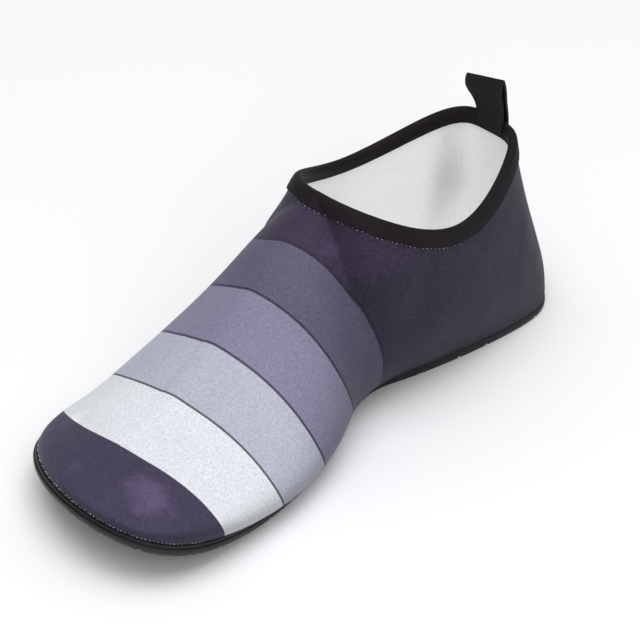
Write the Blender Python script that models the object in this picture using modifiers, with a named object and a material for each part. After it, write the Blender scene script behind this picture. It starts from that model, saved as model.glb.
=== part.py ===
"""Water shoe for the right foot: a knitted upper on a thin rubber sole.

The shoe stands on its sole with the toe along +X, the medial side along +Y and +Z up, in metres.
The last is measured from the back of the heel, and the root empty moves it so that the origin lies
under the heel, on the flat pad that the shoe rests on.
"""
import math

import bmesh
import bpy
import numpy as np
from mathutils import Matrix, Vector
from mathutils.bvhtree import BVHTree
from mathutils.interpolate import poly_3d_calc

# Driving dimensions of the last
LENGTH = 0.265
BALL_WIDTH = 0.106
INSTEP_HEIGHT = 0.104
HEEL_HEIGHT = 0.091
TOE_SPRING = 0.019
HEEL_LIFT = 0.001
ARCH_RISE = 0.0015

# Thicknesses and clearances
CLEARANCE = 0.0003
UPPER_WALL = 0.002
SOLE_THICKNESS = 0.0045
HEEL_SOLE_THICKNESS = 0.0034
SOLE_LEDGE = 0.0022
TOE_BUMPER = 0.0014
INSOLE_THICKNESS = 0.003

# The elastic tape folded over the collar, and the webbing of the pull tab
TAPE_CLEARANCE = 0.0005
TAPE_THICKNESS = 0.001
TAPE_DEPTH = 0.005
TAB_WIDTH = 0.0205
TAB_THICKNESS = 0.0011
TAB_HEIGHT = 0.0212
TAB_LEAN = 0.004
TAB_SKEW = 0.005
TAB_FOLD = 0.0028
TAB_TAPER = 0.004
TAB_BELLY = 0.0009
TAB_OUTER_DEPTH = 0.006
TAB_INNER_DEPTH = 0.0022

# The tread
GROOVE_DEPTH = 0.0013
GROOVE_WIDTH = 0.0022
LONG_GROOVE_DEPTH = 0.0016
LUG_PITCH = 0.015
MEDIAL_LANES = 3
LATERAL_LANES = 2
HEEL_PAD_X = 0.036

# How finely the surfaces are cut, and how much closer the ribs stand at heel, throat and toe
SIDE_COLUMNS = 40
WALL_ROWS = 12
CROWDING = 0.35
PLATE_STRIPS = 3
TAPE_STATIONS_A_RIB = 2
TAPE_FOLD_STEPS = 3
LANE_STEPS = 11
TAB_COLUMNS = 6
TAB_ROWS = 24

# Where the ground leaves the sole, as shares of LENGTH
SPRING_START = 0.66
HEEL_LIFT_END = 0.07
ARCH_START = 0.33
ARCH_END = 0.52

# Where the sole thickens from the heel to the ball, where its edge starts to stand further out, and where
# it thickens again towards the toe, as shares of LENGTH
THICKEN_START = 0.40
THICKEN_END = 0.70
LEDGE_START = 0.62
BUMPER_START = 0.78

# How far the sole's edge stands out at the heel, as a share of SOLE_LEDGE
HEEL_LEDGE = 0.25

# The share of the way from the heel to the toe at which the ribs pass from the collar to the ridge
THROAT_SHARE = 0.5

# One row for each section, from the back of the heel to the tip of the toe. The outline of the sole:
# along is a share of LENGTH and out a share of BALL_WIDTH, both for the medial and the lateral side.
OUTLINE = (
    # medial_along, medial_out, lateral_along, lateral_out
    (0.000, 0.000, 0.000, 0.000),
    (0.030, 0.198, 0.042, 0.200),
    (0.113, 0.271, 0.103, 0.295),
    (0.285, 0.234, 0.260, 0.322),
    (0.417, 0.187, 0.386, 0.345),
    (0.516, 0.267, 0.498, 0.405),
    (0.587, 0.373, 0.587, 0.456),
    (0.695, 0.455, 0.692, 0.493),
    (0.833, 0.515, 0.785, 0.453),
    (0.968, 0.446, 0.913, 0.332),
    (0.997, 0.045, 0.997, -0.045),
)

# The same sections of the wall: how far it swells past the sole and rises at its foot, how far it
# reaches out, leads forward and drops at its top, as shares of INSTEP_HEIGHT.
MEDIAL_WALL = (
    # swell, rise, reach, lead, drop
    (0.084, 0.200, -0.011, 0.000, 0.279),
    (0.030, 0.150, 0.020, 0.000, 0.240),
    (0.050, 0.155, 0.065, 0.000, 0.215),
    (0.135, 0.175, 0.085, 0.005, 0.235),
    (0.220, 0.160, 0.115, 0.045, 0.175),
    (0.215, 0.160, 0.140, 0.130, 0.025),
    (0.210, 0.137, 0.210, 0.110, 0.012),
    (0.250, 0.060, 0.260, 0.060, 0.015),
    (0.187, 0.071, 0.285, 0.000, 0.020),
    (0.120, 0.105, 0.275, 0.000, 0.025),
    (0.035, 0.100, 0.260, 0.000, 0.020),
)
LATERAL_WALL = (
    # swell, rise, reach, lead, drop
    (0.084, 0.200, -0.011, 0.000, 0.279),
    (0.040, 0.240, -0.010, 0.000, 0.300),
    (0.050, 0.235, 0.010, 0.000, 0.290),
    (0.060, 0.245, 0.055, 0.005, 0.205),
    (0.085, 0.245, 0.073, 0.040, 0.120),
    (0.105, 0.205, 0.210, 0.110, 0.015),
    (0.070, 0.160, 0.195, 0.055, 0.012),
    (0.030, 0.120, 0.265, 0.010, 0.018),
    (0.025, 0.095, 0.290, 0.000, 0.025),
    (0.020, 0.090, 0.265, 0.000, 0.030),
    (0.035, 0.100, 0.260, 0.000, 0.020),
)

# The collar's edge from the heel to the throat: along is a share of LENGTH, middle and half of
# BALL_WIDTH, and its height is the sum of a share of HEEL_HEIGHT and a share of INSTEP_HEIGHT.
COLLAR = (
    # along, middle, half, of_heel, of_instep
    (0.090, 0.014, 0.000, 0.985, 0.000),
    (0.096, 0.016, 0.117, 0.985, 0.000),
    (0.146, 0.003, 0.232, 0.921, 0.000),
    (0.285, -0.006, 0.332, 0.678, 0.122),
    (0.428, 0.016, 0.238, 0.119, 0.758),
    (0.472, 0.013, 0.000, 0.000, 0.924),
)

# The ridge from the throat to the toe: along is a share of LENGTH, middle of BALL_WIDTH, and height,
# above the ground line, of INSTEP_HEIGHT.
RIDGE = (
    # along, middle, height
    (0.472, 0.013, 0.924),
    (0.550, 0.000, 0.780),
    (0.680, 0.030, 0.542),
    (0.785, 0.054, 0.380),
    (0.847, 0.075, 0.310),
    (0.885, 0.085, 0.270),
)

# The sole's side from the ground up: how far each ring stands out, as a share of SOLE_LEDGE, and how
# high it lies, as a share of the sole's thickness there. The notch at the top makes the side's step.
SOLE_SIDE = (
    # out, up
    (-0.60, 0.00),
    (0.60, 0.16),
    (1.00, 0.36),
    (1.00, 0.66),
    (0.55, 0.72),
    (0.55, 0.90),
    (0.25, 1.00),
)

# The sock liner's side from the bottom up: its edge is rounded off by a share of its thickness
INSOLE_SIDE = (
    # in, up
    (0.00, 0.00),
    (0.00, 0.75),
    (0.35, 1.00),
)


class Curve:
    """A smooth cubic curve through values at knots, closed in a loop or with free or level ends."""

    def __init__(self, knots, values, ends):
        self.knots = np.asarray(knots, dtype=float)
        self.values = np.asarray(values, dtype=float)
        count = len(self.knots)
        step = np.diff(self.knots)
        rise = np.diff(self.values) / step
        system = np.zeros((count, count))
        right = np.zeros(count)
        for i in range(1, count - 1):
            system[i, i - 1:i + 2] = step[i - 1], 2 * (step[i - 1] + step[i]), step[i]
            right[i] = 6 * (rise[i] - rise[i - 1])
        if ends == "loop":
            system[0, 0] = 1
            system[0, -1] = -1
            system[-1, 0] = 2 * (step[0] + step[-1])
            system[-1, 1] = step[0]
            system[-1, -2] = step[-1]
            right[-1] = 6 * (rise[0] - rise[-1])
        elif ends == "level":
            system[0, :2] = 2 * step[0], step[0]
            right[0] = 6 * rise[0]
            system[-1, -2:] = step[-1], 2 * step[-1]
            right[-1] = -6 * rise[-1]
        else:
            system[0, 0] = 1
            system[-1, -1] = 1
        self.bends = np.linalg.solve(system, right)

    def _piece(self, at):
        at = np.asarray(at, dtype=float)
        i = np.clip(np.searchsorted(self.knots, at, side="right") - 1, 0, len(self.knots) - 2)
        step = self.knots[i + 1] - self.knots[i]
        return i, step, (at - self.knots[i]) / step

    def __call__(self, at):
        i, step, t = self._piece(at)
        low, high = self.values[i], self.values[i + 1]
        bend = (1 - t) ** 3 - (1 - t)
        swing = t ** 3 - t
        return low * (1 - t) + high * t + step ** 2 / 6 * (bend * self.bends[i] + swing * self.bends[i + 1])

    def slope(self, at):
        i, step, t = self._piece(at)
        low, high = self.values[i], self.values[i + 1]
        bend = 1 - 3 * (1 - t) ** 2
        swing = 3 * t ** 2 - 1
        return (high - low) / step + step / 6 * (bend * self.bends[i] + swing * self.bends[i + 1])


def column(table, index):
    """One named column of a section table."""
    return np.array([row[index] for row in table])


def around(medial, lateral):
    """A loop through the sections: medial side from heel to toe, then lateral side back to the heel."""
    shares = np.linspace(0.0, 1.0, len(medial))
    knots = np.concatenate([shares, 2.0 - shares[-2::-1]])
    return Curve(knots, np.concatenate([medial, lateral[-2::-1]]), "loop")


def smooth_step(share):
    """Ease from 0 to 1."""
    share = np.clip(share, 0.0, 1.0)
    return share * share * (3 - 2 * share)


def ground(x):
    """Height of the sole's lowest line above the floor: toe spring in front, a little lift behind."""
    spring = np.clip((x / LENGTH - SPRING_START) / (1 - SPRING_START), 0.0, None)
    lift = np.clip((HEEL_LIFT_END - x / LENGTH) / HEEL_LIFT_END, 0.0, None)
    return TOE_SPRING * spring ** 2 + HEEL_LIFT * lift ** 2


def ground_pitch(x):
    """The ground line's angle at x."""
    return math.atan2(ground(x + GROOVE_WIDTH) - ground(x - GROOVE_WIDTH), 2 * GROOVE_WIDTH)


def arch(x):
    """How far the sole's underside is hollowed under the waist."""
    share = np.clip((x / LENGTH - ARCH_START) / (ARCH_END - ARCH_START), 0.0, 1.0)
    return ARCH_RISE * np.sin(math.pi * share) ** 2


def sole_thickness(x):
    """The rubber's thickness: thin at the heel, more at the ball, and most in the toe's bumper."""
    ball = smooth_step((x / LENGTH - THICKEN_START) / (THICKEN_END - THICKEN_START))
    toe = smooth_step((x / LENGTH - BUMPER_START) / (1 - BUMPER_START))
    return HEEL_SOLE_THICKNESS + (SOLE_THICKNESS - HEEL_SOLE_THICKNESS) * ball + TOE_BUMPER * toe


def ledge(x):
    """How far the rubber's edge stands out past the upper's foot: least behind, most at the toe."""
    toe = smooth_step((x / LENGTH - LEDGE_START) / (1 - LEDGE_START))
    return SOLE_LEDGE * (HEEL_LEDGE + (1 - HEEL_LEDGE) * toe)


class Last:
    """The shape that sole, upper and tape share. Its ribs rise from the sole's outline.

    A rib is named by its turn: 0 is the back of the heel, 1 the tip of the toe on the medial way
    there, and 2 the heel again along the lateral side. Ribs end on the collar or on the ridge.
    """

    def __init__(self):
        self.along = around(column(OUTLINE, 0), column(OUTLINE, 2))
        self.out = around(column(OUTLINE, 1), -column(OUTLINE, 3))
        self.swell, self.rise, self.reach, self.lead, self.drop = (
            around(column(MEDIAL_WALL, i), column(LATERAL_WALL, i)) for i in range(5))
        collar = np.linspace(0.0, THROAT_SHARE, len(COLLAR))
        ridge = np.linspace(THROAT_SHARE, 1.0, len(RIDGE))
        collar_height = column(COLLAR, 3) * HEEL_HEIGHT + column(COLLAR, 4) * INSTEP_HEIGHT
        ridge_along = column(RIDGE, 0) * LENGTH
        ridge_height = ground(ridge_along) + column(RIDGE, 2) * INSTEP_HEIGHT
        self.collar_x = Curve(collar, column(COLLAR, 0) * LENGTH, "level")
        self.collar_z = Curve(collar, collar_height, "level")
        self.collar_half = Curve(collar, column(COLLAR, 2) * BALL_WIDTH, "free")
        middle = np.concatenate([column(COLLAR, 1), column(RIDGE, 1)[1:]])
        self.middle = Curve(np.concatenate([collar, ridge[1:]]), middle * BALL_WIDTH, "free")
        self.ridge_x = Curve(ridge, ridge_along, "free")
        self.ridge_z = Curve(ridge, ridge_height, "free")

    def outline(self, turn):
        """Plan point of the sole's outline and the outward direction there."""
        turn = turn % 2.0
        point = np.stack([self.along(turn) * LENGTH, self.out(turn) * BALL_WIDTH], -1)
        run = self.along.slope(turn) * LENGTH
        side = self.out.slope(turn) * BALL_WIDTH
        outward = np.stack([-side, run], -1)
        return point, outward / np.linalg.norm(outward, axis=-1, keepdims=True)

    def top(self, turn):
        """Where a rib ends: on the collar's edge behind the throat, on the ridge before it."""
        turn = turn % 2.0
        share = np.where(turn <= 1.0, turn, 2.0 - turn)
        side = np.where(turn <= 1.0, 1.0, -1.0)
        behind = np.minimum(share, THROAT_SHARE)
        before = np.maximum(share, THROAT_SHARE)
        on_collar = share < THROAT_SHARE
        x = np.where(on_collar, self.collar_x(behind), self.ridge_x(before))
        y = self.middle(share) + np.where(on_collar, side * self.collar_half(behind), 0.0)
        z = np.where(on_collar, self.collar_z(behind), self.ridge_z(before))
        return np.stack([x, y, z], -1)

    def fall(self, turn):
        """The ridge's slope, which a rib's upper end follows so that the two sides meet smoothly."""
        turn = turn % 2.0
        share = np.where(turn <= 1.0, turn, 2.0 - turn)
        before = np.maximum(share, THROAT_SHARE)
        slope = self.ridge_z.slope(before) / self.ridge_x.slope(before)
        return slope * smooth_step(share / THROAT_SHARE)

    def surface(self, turns, rises):
        """Points of the upper's outer face: one rib for each turn, one row for each rise, 0 to 1."""
        turns = np.asarray(turns) % 2.0
        plan, outward = self.outline(turns)
        seat = ground(plan[:, 0]) + sole_thickness(plan[:, 0]) + CLEARANCE
        foot = np.concatenate([plan, seat[:, None]], -1)
        low = foot.copy()
        low[:, :2] += outward * (self.swell(turns) * INSTEP_HEIGHT)[:, None]
        low[:, 2] += self.rise(turns) * INSTEP_HEIGHT
        top = self.top(turns)
        shift = outward * (self.reach(turns) * INSTEP_HEIGHT)[:, None]
        shift[:, 0] += self.lead(turns) * INSTEP_HEIGHT
        high = top.copy()
        high[:, :2] += shift
        high[:, 2] += self.fall(turns) * shift[:, 0] - self.drop(turns) * INSTEP_HEIGHT
        foot, low, high, top = (p[:, None, :] for p in (foot, low, high, top))
        up = np.asarray(rises)[None, :, None]
        down = 1 - up
        return down ** 3 * foot + 3 * down ** 2 * up * low + 3 * down * up ** 2 * high + up ** 3 * top


def crowded(even):
    """Shares of the way to the toe, moved closer together at heel, throat and toe."""
    return even - CROWDING * np.sin(4 * math.pi * even) / (4 * math.pi)


def turns_around(side_columns):
    """Turns of the ribs once around the shoe, starting at the heel."""
    shares = crowded(np.linspace(0.0, 1.0, side_columns + 1))
    return np.concatenate([shares, 2.0 - shares[-2:0:-1]])


def new_object(name, bm, collection, material=None):
    """A mesh object from a bmesh, with its faces pointing out."""
    mesh = bpy.data.meshes.new(name)
    bm.to_mesh(mesh)
    bm.free()
    obj = bpy.data.objects.new(name, mesh)
    collection.objects.link(obj)
    if material is not None:
        mesh.materials.append(material)
    return obj


def shade(obj, angle=math.radians(40)):
    """Smooth shading with real edges kept sharp."""
    obj.data.shade_smooth()
    obj.data.set_sharp_from_angle(angle=angle)


def new_material(name, colour, roughness):
    """A Principled material of one colour."""
    material = bpy.data.materials.new(name)
    material.use_nodes = True
    shader = material.node_tree.nodes["Principled BSDF"]
    shader.inputs["Base Color"].default_value = (*colour, 1.0)
    shader.inputs["Roughness"].default_value = roughness
    shader.inputs["Metallic"].default_value = 0.0
    return material


def sleeve(last, side_columns, rows):
    """The upper's outer face as an open bmesh, one column of faces for each rib."""
    turns = turns_around(side_columns)
    points = last.surface(turns, np.linspace(0.0, 1.0, rows + 1))
    count = len(turns)
    bm = bmesh.new()
    grid = []
    for i in range(count):
        ribs = [bm.verts.new(point) for point in points[i, :rows]]
        mirrored = count - i
        shared = i > side_columns and mirrored >= side_columns // 2
        ribs.append(grid[mirrored][rows] if shared else bm.verts.new(points[i, rows]))
        grid.append(ribs)
    for i in range(count):
        here, ahead = grid[i], grid[(i + 1) % count]
        for k in range(rows):
            bm.faces.new((here[k], here[k + 1], ahead[k + 1], ahead[k]))
    return bm


def ring(last, turns, out, height):
    """The outline moved out by a distance, at a height, both as functions of x."""
    plan, outward = last.outline(turns)
    plan = plan + outward * out(plan[:, 0])[:, None]
    return [Vector((x, y, height(x))) for x, y in plan]


def lofted_plate(rings, bottom, top, strips):
    """A closed plate between rings, with its two faces laid in strips from side to side."""
    bm = bmesh.new()
    loops = [[bm.verts.new(point) for point in points] for points in rings]
    count = len(loops[0])
    for low, high in zip(loops, loops[1:]):
        for i in range(count):
            j = (i + 1) % count
            bm.faces.new((low[i], high[i], high[j], low[j]))
    for loop, height in ((loops[0], bottom), (loops[-1], top)):
        rows = [[loop[0]]]
        for i in range(1, count // 2):
            left, right = loop[i], loop[count - i]
            inner = []
            for k in range(1, strips):
                point = left.co.lerp(right.co, k / strips)
                point.z = height(point.x)
                inner.append(bm.verts.new(point))
            rows.append([left, *inner, right])
        rows.append([loop[count // 2]])
        for here, ahead in zip(rows, rows[1:]):
            for k in range(strips):
                corners = [here[min(k, len(here) - 1)], here[min(k + 1, len(here) - 1)],
                           ahead[min(k + 1, len(ahead) - 1)], ahead[min(k, len(ahead) - 1)]]
                bm.faces.new(list(dict.fromkeys(corners)))
    bmesh.ops.triangulate(bm, faces=bm.faces)
    bmesh.ops.recalc_face_normals(bm, faces=bm.faces)
    return bm


def cross_grooves():
    """Bars that cut the sole from side to side, square to its underside."""
    bm = bmesh.new()
    spots = [HEEL_PAD_X + lug * LUG_PITCH for lug in (-1, 1, 2)]
    first = ARCH_END * LENGTH
    spots += [first + k * LUG_PITCH for k in range(int((LENGTH - first) / LUG_PITCH))]
    for x in spots:
        size = Matrix.Diagonal((GROOVE_WIDTH, 2 * BALL_WIDTH, 2 * GROOVE_DEPTH, 1))
        place = Matrix.Translation((x, 0, ground(x))) @ Matrix.Rotation(-ground_pitch(x), 4, "Y")
        bmesh.ops.create_cube(bm, size=1.0, matrix=place @ size)
    return bm


def long_grooves():
    """Bars that run forward under the forefoot and out at the toe, following its spring."""
    bm = bmesh.new()
    start = (ARCH_END + SPRING_START) / 2 * LENGTH
    stops = np.linspace(start, LENGTH + LUG_PITCH, LANE_STEPS + 1)
    lanes = np.arange(-LATERAL_LANES, MEDIAL_LANES + 1) * LUG_PITCH
    for lane in lanes:
        loops = []
        for x in stops:
            low, high = ground(x) - LONG_GROOVE_DEPTH, ground(x) + LONG_GROOVE_DEPTH
            left, right = lane - GROOVE_WIDTH / 2, lane + GROOVE_WIDTH / 2
            corners = ((left, low), (right, low), (right, high), (left, high))
            loops.append([bm.verts.new((x, y, z)) for y, z in corners])
        bm.faces.new(loops[0])
        bm.faces.new(loops[-1])
        for here, ahead in zip(loops, loops[1:]):
            for k in range(4):
                bm.faces.new((here[k], ahead[k], ahead[(k + 1) % 4], here[(k + 1) % 4]))
    bmesh.ops.recalc_face_normals(bm, faces=bm.faces)
    return bm


def make_outsole(last, parts, cutters, material):
    """The rubber sole: stepped side, hollowed waist, toe spring and lugs between grooves."""
    turns = turns_around(SIDE_COLUMNS)

    def under(x):
        return ground(x) + arch(x)

    def over(x):
        return ground(x) + sole_thickness(x)

    def level(x, up):
        return under(x) + up * (over(x) - under(x))

    rings = [ring(last, turns, lambda x: out * ledge(x), lambda x: level(x, up)) for out, up in SOLE_SIDE]
    outsole = new_object("outsole", lofted_plate(rings, under, over, PLATE_STRIPS), parts, material)
    for name, bars in (("cross_grooves", cross_grooves()), ("long_grooves", long_grooves())):
        cutter = new_object(name, bars, cutters)
        cutter.hide_render = True
        cutter.display_type = "WIRE"
        cut = outsole.modifiers.new(name, "BOOLEAN")
        cut.operation = "DIFFERENCE"
        cut.solver = "EXACT"
        cut.object = cutter
    shade(outsole, math.radians(25))
    return outsole


def make_insole(last, parts, material):
    """The sock liner, lying on the sole inside the wall's foot."""
    turns = turns_around(SIDE_COLUMNS)
    edge = UPPER_WALL + 2 * CLEARANCE

    def under(x):
        return ground(x) + sole_thickness(x) + CLEARANCE

    def over(x):
        return under(x) + INSOLE_THICKNESS

    rings = []
    for inward, up in INSOLE_SIDE:
        out = -edge - inward * INSOLE_THICKNESS
        rise = up * INSOLE_THICKNESS
        rings.append(ring(last, turns, lambda x: np.full_like(x, out), lambda x: under(x) + rise))
    insole = new_object("insole", lofted_plate(rings, under, over, PLATE_STRIPS), parts, material)
    shade(insole)
    return insole


def make_upper(last, parts, material):
    """The knitted sleeve: the outer face with its wall grown inward."""
    upper = new_object("upper", sleeve(last, SIDE_COLUMNS, WALL_ROWS), parts, material)
    wall = upper.modifiers.new("wall", "SOLIDIFY")
    wall.thickness = UPPER_WALL
    wall.offset = -1.0
    wall.use_even_offset = False
    shade(upper)
    return upper


class Surface:
    """The upper's outer face, for laying tape along it."""

    def __init__(self, last):
        self.mesh = sleeve(last, SIDE_COLUMNS, WALL_ROWS)
        self.mesh.normal_update()
        self.mesh.faces.ensure_lookup_table()
        self.tree = BVHTree.FromBMesh(self.mesh)

    def nearest(self, point):
        """The nearest point of the face, and its smooth normal."""
        place, _, index, _ = self.tree.find_nearest(point)
        face = self.mesh.faces[index]
        weights = poly_3d_calc([vert.co for vert in face.verts], place)
        normal = Vector()
        for vert, weight in zip(face.verts, weights):
            normal += vert.normal * weight
        return place, normal.normalized()


class CollarEdge:
    """Stations along the collar's edge, each with its outward and its downward direction."""

    def __init__(self, points, surface, closed):
        self.points = [Vector(point) for point in points]
        count = len(self.points)
        normals = eased([surface.nearest(point)[1] for point in self.points], closed)
        self.outward = []
        self.downward = []
        for i in range(count):
            back, ahead = (i - 1) % count, (i + 1) % count
            if not closed:
                back, ahead = max(i - 1, 0), min(i + 1, count - 1)
            along = (self.points[ahead] - self.points[back]).normalized()
            normal = (normals[i] - along * normals[i].dot(along)).normalized()
            down = normal.cross(along)
            if down.z > 0:
                down = -down
            self.outward.append(normal)
            self.downward.append(down)


def eased(normals, closed):
    """Normals along a row, each averaged with its neighbours."""
    count = len(normals)
    result = []
    for i, normal in enumerate(normals):
        back, ahead = (i - 1) % count, (i + 1) % count
        if not closed:
            back, ahead = max(i - 1, 0), min(i + 1, count - 1)
        result.append((normals[back] + 2 * normal + normals[ahead]).normalized())
    return result


def offsets_below(surface, edge, depth, closed):
    """Places on the wall at a depth below each station of the collar's edge, and their normals."""
    places, normals = [], []
    for point, downward in zip(edge.points, edge.downward):
        place, normal = surface.nearest(point + downward * depth)
        places.append(place)
        normals.append(normal)
    return list(zip(places, eased(normals, closed)))


def make_binding(last, surface, parts, material):
    """The elastic tape folded over the collar's edge: down outside, over the edge and down inside."""
    turns = turns_around(SIDE_COLUMNS)
    throat = SIDE_COLUMNS // 2
    turns = np.concatenate([turns[:throat + 1], turns[1 - throat:]])
    corners = last.top(turns)
    ahead = np.roll(corners, -1, axis=0)
    steps = np.arange(TAPE_STATIONS_A_RIB) / TAPE_STATIONS_A_RIB
    points = (corners[:, None] + (ahead - corners)[:, None] * steps[None, :, None]).reshape(-1, 3)
    edge = CollarEdge(points, surface, True)
    legs = [offsets_below(surface, edge, depth, True) for depth in (TAPE_DEPTH, TAPE_DEPTH / 2)]
    near, far = TAPE_CLEARANCE, TAPE_CLEARANCE + TAPE_THICKNESS
    angles = np.linspace(0, math.pi, TAPE_FOLD_STEPS + 1)
    bm = bmesh.new()
    loops = []
    for i, (point, outward, downward) in enumerate(zip(edge.points, edge.outward, edge.downward)):
        middle = point - outward * (UPPER_WALL / 2)
        arcs = [outward * math.cos(angle) - downward * math.sin(angle) for angle in angles]
        leg = [leg[i] for leg in legs]
        outside = [place + normal * far for place, normal in leg]
        outside += [middle + arc * (UPPER_WALL / 2 + far) for arc in arcs]
        outside += [place - normal * (UPPER_WALL + far) for place, normal in reversed(leg)]
        inside = [place + normal * near for place, normal in leg]
        inside += [middle + arc * (UPPER_WALL / 2 + near) for arc in arcs]
        inside += [place - normal * (UPPER_WALL + near) for place, normal in reversed(leg)]
        loops.append([bm.verts.new(corner) for corner in outside + inside[::-1]])
    size = len(loops[0])
    for i, here in enumerate(loops):
        ahead = loops[(i + 1) % len(loops)]
        for k in range(size):
            bm.faces.new((here[k], here[(k + 1) % size], ahead[(k + 1) % size], ahead[k]))
    bmesh.ops.recalc_face_normals(bm, faces=bm.faces)
    binding = new_object("collar_binding", bm, parts, material)
    shade(binding)
    return binding


def lengths_along(points):
    """How far along the line each of its points lies."""
    return np.concatenate([[0.0], np.cumsum(np.linalg.norm(np.diff(points, axis=0), axis=1))])


def turns_behind(last, offsets):
    """Turns of the ribs that end at offsets to the side of the heel, measured along the collar."""
    turns = np.linspace(-THROAT_SHARE / 2, THROAT_SHARE / 2, 2 * SIDE_COLUMNS + 1)
    reach = lengths_along(last.top(turns))
    return np.interp(offsets, reach - reach[SIDE_COLUMNS], turns)


def make_pull_tab(last, surface, parts, material):
    """The webbing loop over the binding at the heel: two strands that meet in a fold above.

    The inner strand is narrower at its foot, on the lateral side.
    """
    shares = np.linspace(-0.5, 0.5, TAB_COLUMNS + 1)
    edge = CollarEdge(last.top(turns_behind(last, shares * TAB_WIDTH)), surface, False)
    inner_offsets = shares * TAB_WIDTH + (0.5 - shares) * TAB_TAPER
    inner_edge = CollarEdge(last.top(turns_behind(last, inner_offsets)), surface, False)
    heel = edge.points[TAB_COLUMNS // 2]
    seat = TAPE_CLEARANCE + TAPE_THICKNESS + CLEARANCE + TAB_THICKNESS / 2
    tip = heel + Vector((TAB_LEAN, 0.0, TAB_HEIGHT))
    bm = bmesh.new()
    columns = []
    fold = Vector((TAB_FOLD / 2, 0.0, 0.0))
    drop = Vector((0.0, 0.0, TAB_FOLD))
    belly = Vector((TAB_BELLY, 0.0, 0.0))
    for i, share in enumerate(shares):
        point, inner_point = edge.points[i], inner_edge.points[i]
        outer = [surface.nearest(point + edge.downward[i] * depth)
                 for depth in (TAB_OUTER_DEPTH, TAB_OUTER_DEPTH / 2)]
        inner = [surface.nearest(inner_point + inner_edge.downward[i] * depth)
                 for depth in (TAB_INNER_DEPTH / 2, TAB_INNER_DEPTH)]
        outer_rim = point + (edge.outward[i] - edge.downward[i]) * seat
        inner_rim = inner_point - inner_edge.downward[i] * seat
        inner_rim -= inner_edge.outward[i] * (UPPER_WALL + seat)
        crown = tip + Vector((0.0, TAB_WIDTH, TAB_SKEW)) * float(share)
        route = [place + normal * seat for place, normal in outer]
        route += [outer_rim, outer_rim.lerp(crown - fold, 0.4) - belly, crown - fold - drop, crown]
        route += [crown + fold - drop, inner_rim.lerp(crown + fold, 0.4) + belly, inner_rim]
        route += [place - normal * (UPPER_WALL + seat) for place, normal in inner]
        knots = lengths_along(route)
        axes = [Curve(knots, [point[axis] for point in route], "free") for axis in range(3)]
        stops = np.linspace(0.0, knots[-1], TAB_ROWS + 1)
        columns.append([bm.verts.new([float(axis(stop)) for axis in axes]) for stop in stops])
    for here, ahead in zip(columns, columns[1:]):
        for k in range(len(here) - 1):
            bm.faces.new((here[k], here[k + 1], ahead[k + 1], ahead[k]))
    bmesh.ops.recalc_face_normals(bm, faces=bm.faces)
    tab = new_object("pull_tab", bm, parts, material)
    weave = tab.modifiers.new("webbing", "SOLIDIFY")
    weave.thickness = TAB_THICKNESS
    weave.offset = 0.0
    weave.use_even_offset = False
    shade(tab)
    return tab


def new_collection(name):
    """A collection in the scene."""
    collection = bpy.data.collections.new(name)
    bpy.context.scene.collection.children.link(collection)
    return collection


def main():
    """Build the shoe."""
    for obj in list(bpy.data.objects):
        bpy.data.objects.remove(obj, do_unlink=True)
    parts = new_collection("water_shoe")
    cutters = new_collection("cutters")
    knit = new_material("printed_knit", (0.105, 0.092, 0.125), 0.82)
    rubber = new_material("black_rubber", (0.018, 0.018, 0.02), 0.62)
    tape = new_material("elastic_tape", (0.012, 0.012, 0.014), 0.78)
    webbing = new_material("webbing", (0.014, 0.014, 0.016), 0.74)
    foam = new_material("liner_foam", (0.78, 0.78, 0.79), 0.9)

    last = Last()
    surface = Surface(last)
    pieces = (
        make_outsole(last, parts, cutters, rubber),
        make_insole(last, parts, foam),
        make_upper(last, parts, knit),
        make_binding(last, surface, parts, tape),
        make_pull_tab(last, surface, parts, webbing),
    )
    surface.mesh.free()

    root = bpy.data.objects.new("water_shoe", None)
    root.location = (-HEEL_PAD_X, 0.0, 0.0)
    parts.objects.link(root)
    for piece in pieces:
        piece.parent = root
    for cutter in cutters.objects:
        cutter.parent = root


main()
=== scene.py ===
"""Looks of a right-foot water shoe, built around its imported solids.

The shoe stands on its sole with the toe along +X, the medial side along +Y and +Z up, in metres. The
origin lies under the heel. The last is measured from the back of the heel, and each piece is moved from
there into the shoe's own frame when its mesh is made.
"""
import logging
import math
from collections.abc import Callable, Sequence
from dataclasses import dataclass
from enum import Enum

import bmesh
import bpy
import numpy as np
from mathutils import Matrix, Vector, noise
from mathutils.bvhtree import BVHTree
from mathutils.interpolate import poly_3d_calc

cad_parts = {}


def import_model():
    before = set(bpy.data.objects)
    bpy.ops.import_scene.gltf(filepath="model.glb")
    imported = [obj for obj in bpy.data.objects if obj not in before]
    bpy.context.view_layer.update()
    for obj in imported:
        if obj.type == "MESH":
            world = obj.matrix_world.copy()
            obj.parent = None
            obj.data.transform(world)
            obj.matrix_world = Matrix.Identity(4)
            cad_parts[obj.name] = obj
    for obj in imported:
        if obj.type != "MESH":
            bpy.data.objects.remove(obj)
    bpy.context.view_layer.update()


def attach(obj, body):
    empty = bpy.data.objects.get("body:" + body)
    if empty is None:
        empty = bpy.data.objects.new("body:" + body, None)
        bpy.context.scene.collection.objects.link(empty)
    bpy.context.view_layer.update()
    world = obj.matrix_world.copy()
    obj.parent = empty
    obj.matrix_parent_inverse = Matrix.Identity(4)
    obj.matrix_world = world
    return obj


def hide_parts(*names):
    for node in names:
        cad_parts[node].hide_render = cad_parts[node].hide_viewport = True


LOG = logging.getLogger("water_shoe")
BODY = "root"
CLOTH_UV = "cloth"

Colour = tuple[float, float, float]
Triple = tuple[float, float, float]
Socket = bpy.types.NodeSocket
Curves = Callable[[np.ndarray], np.ndarray]

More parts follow.
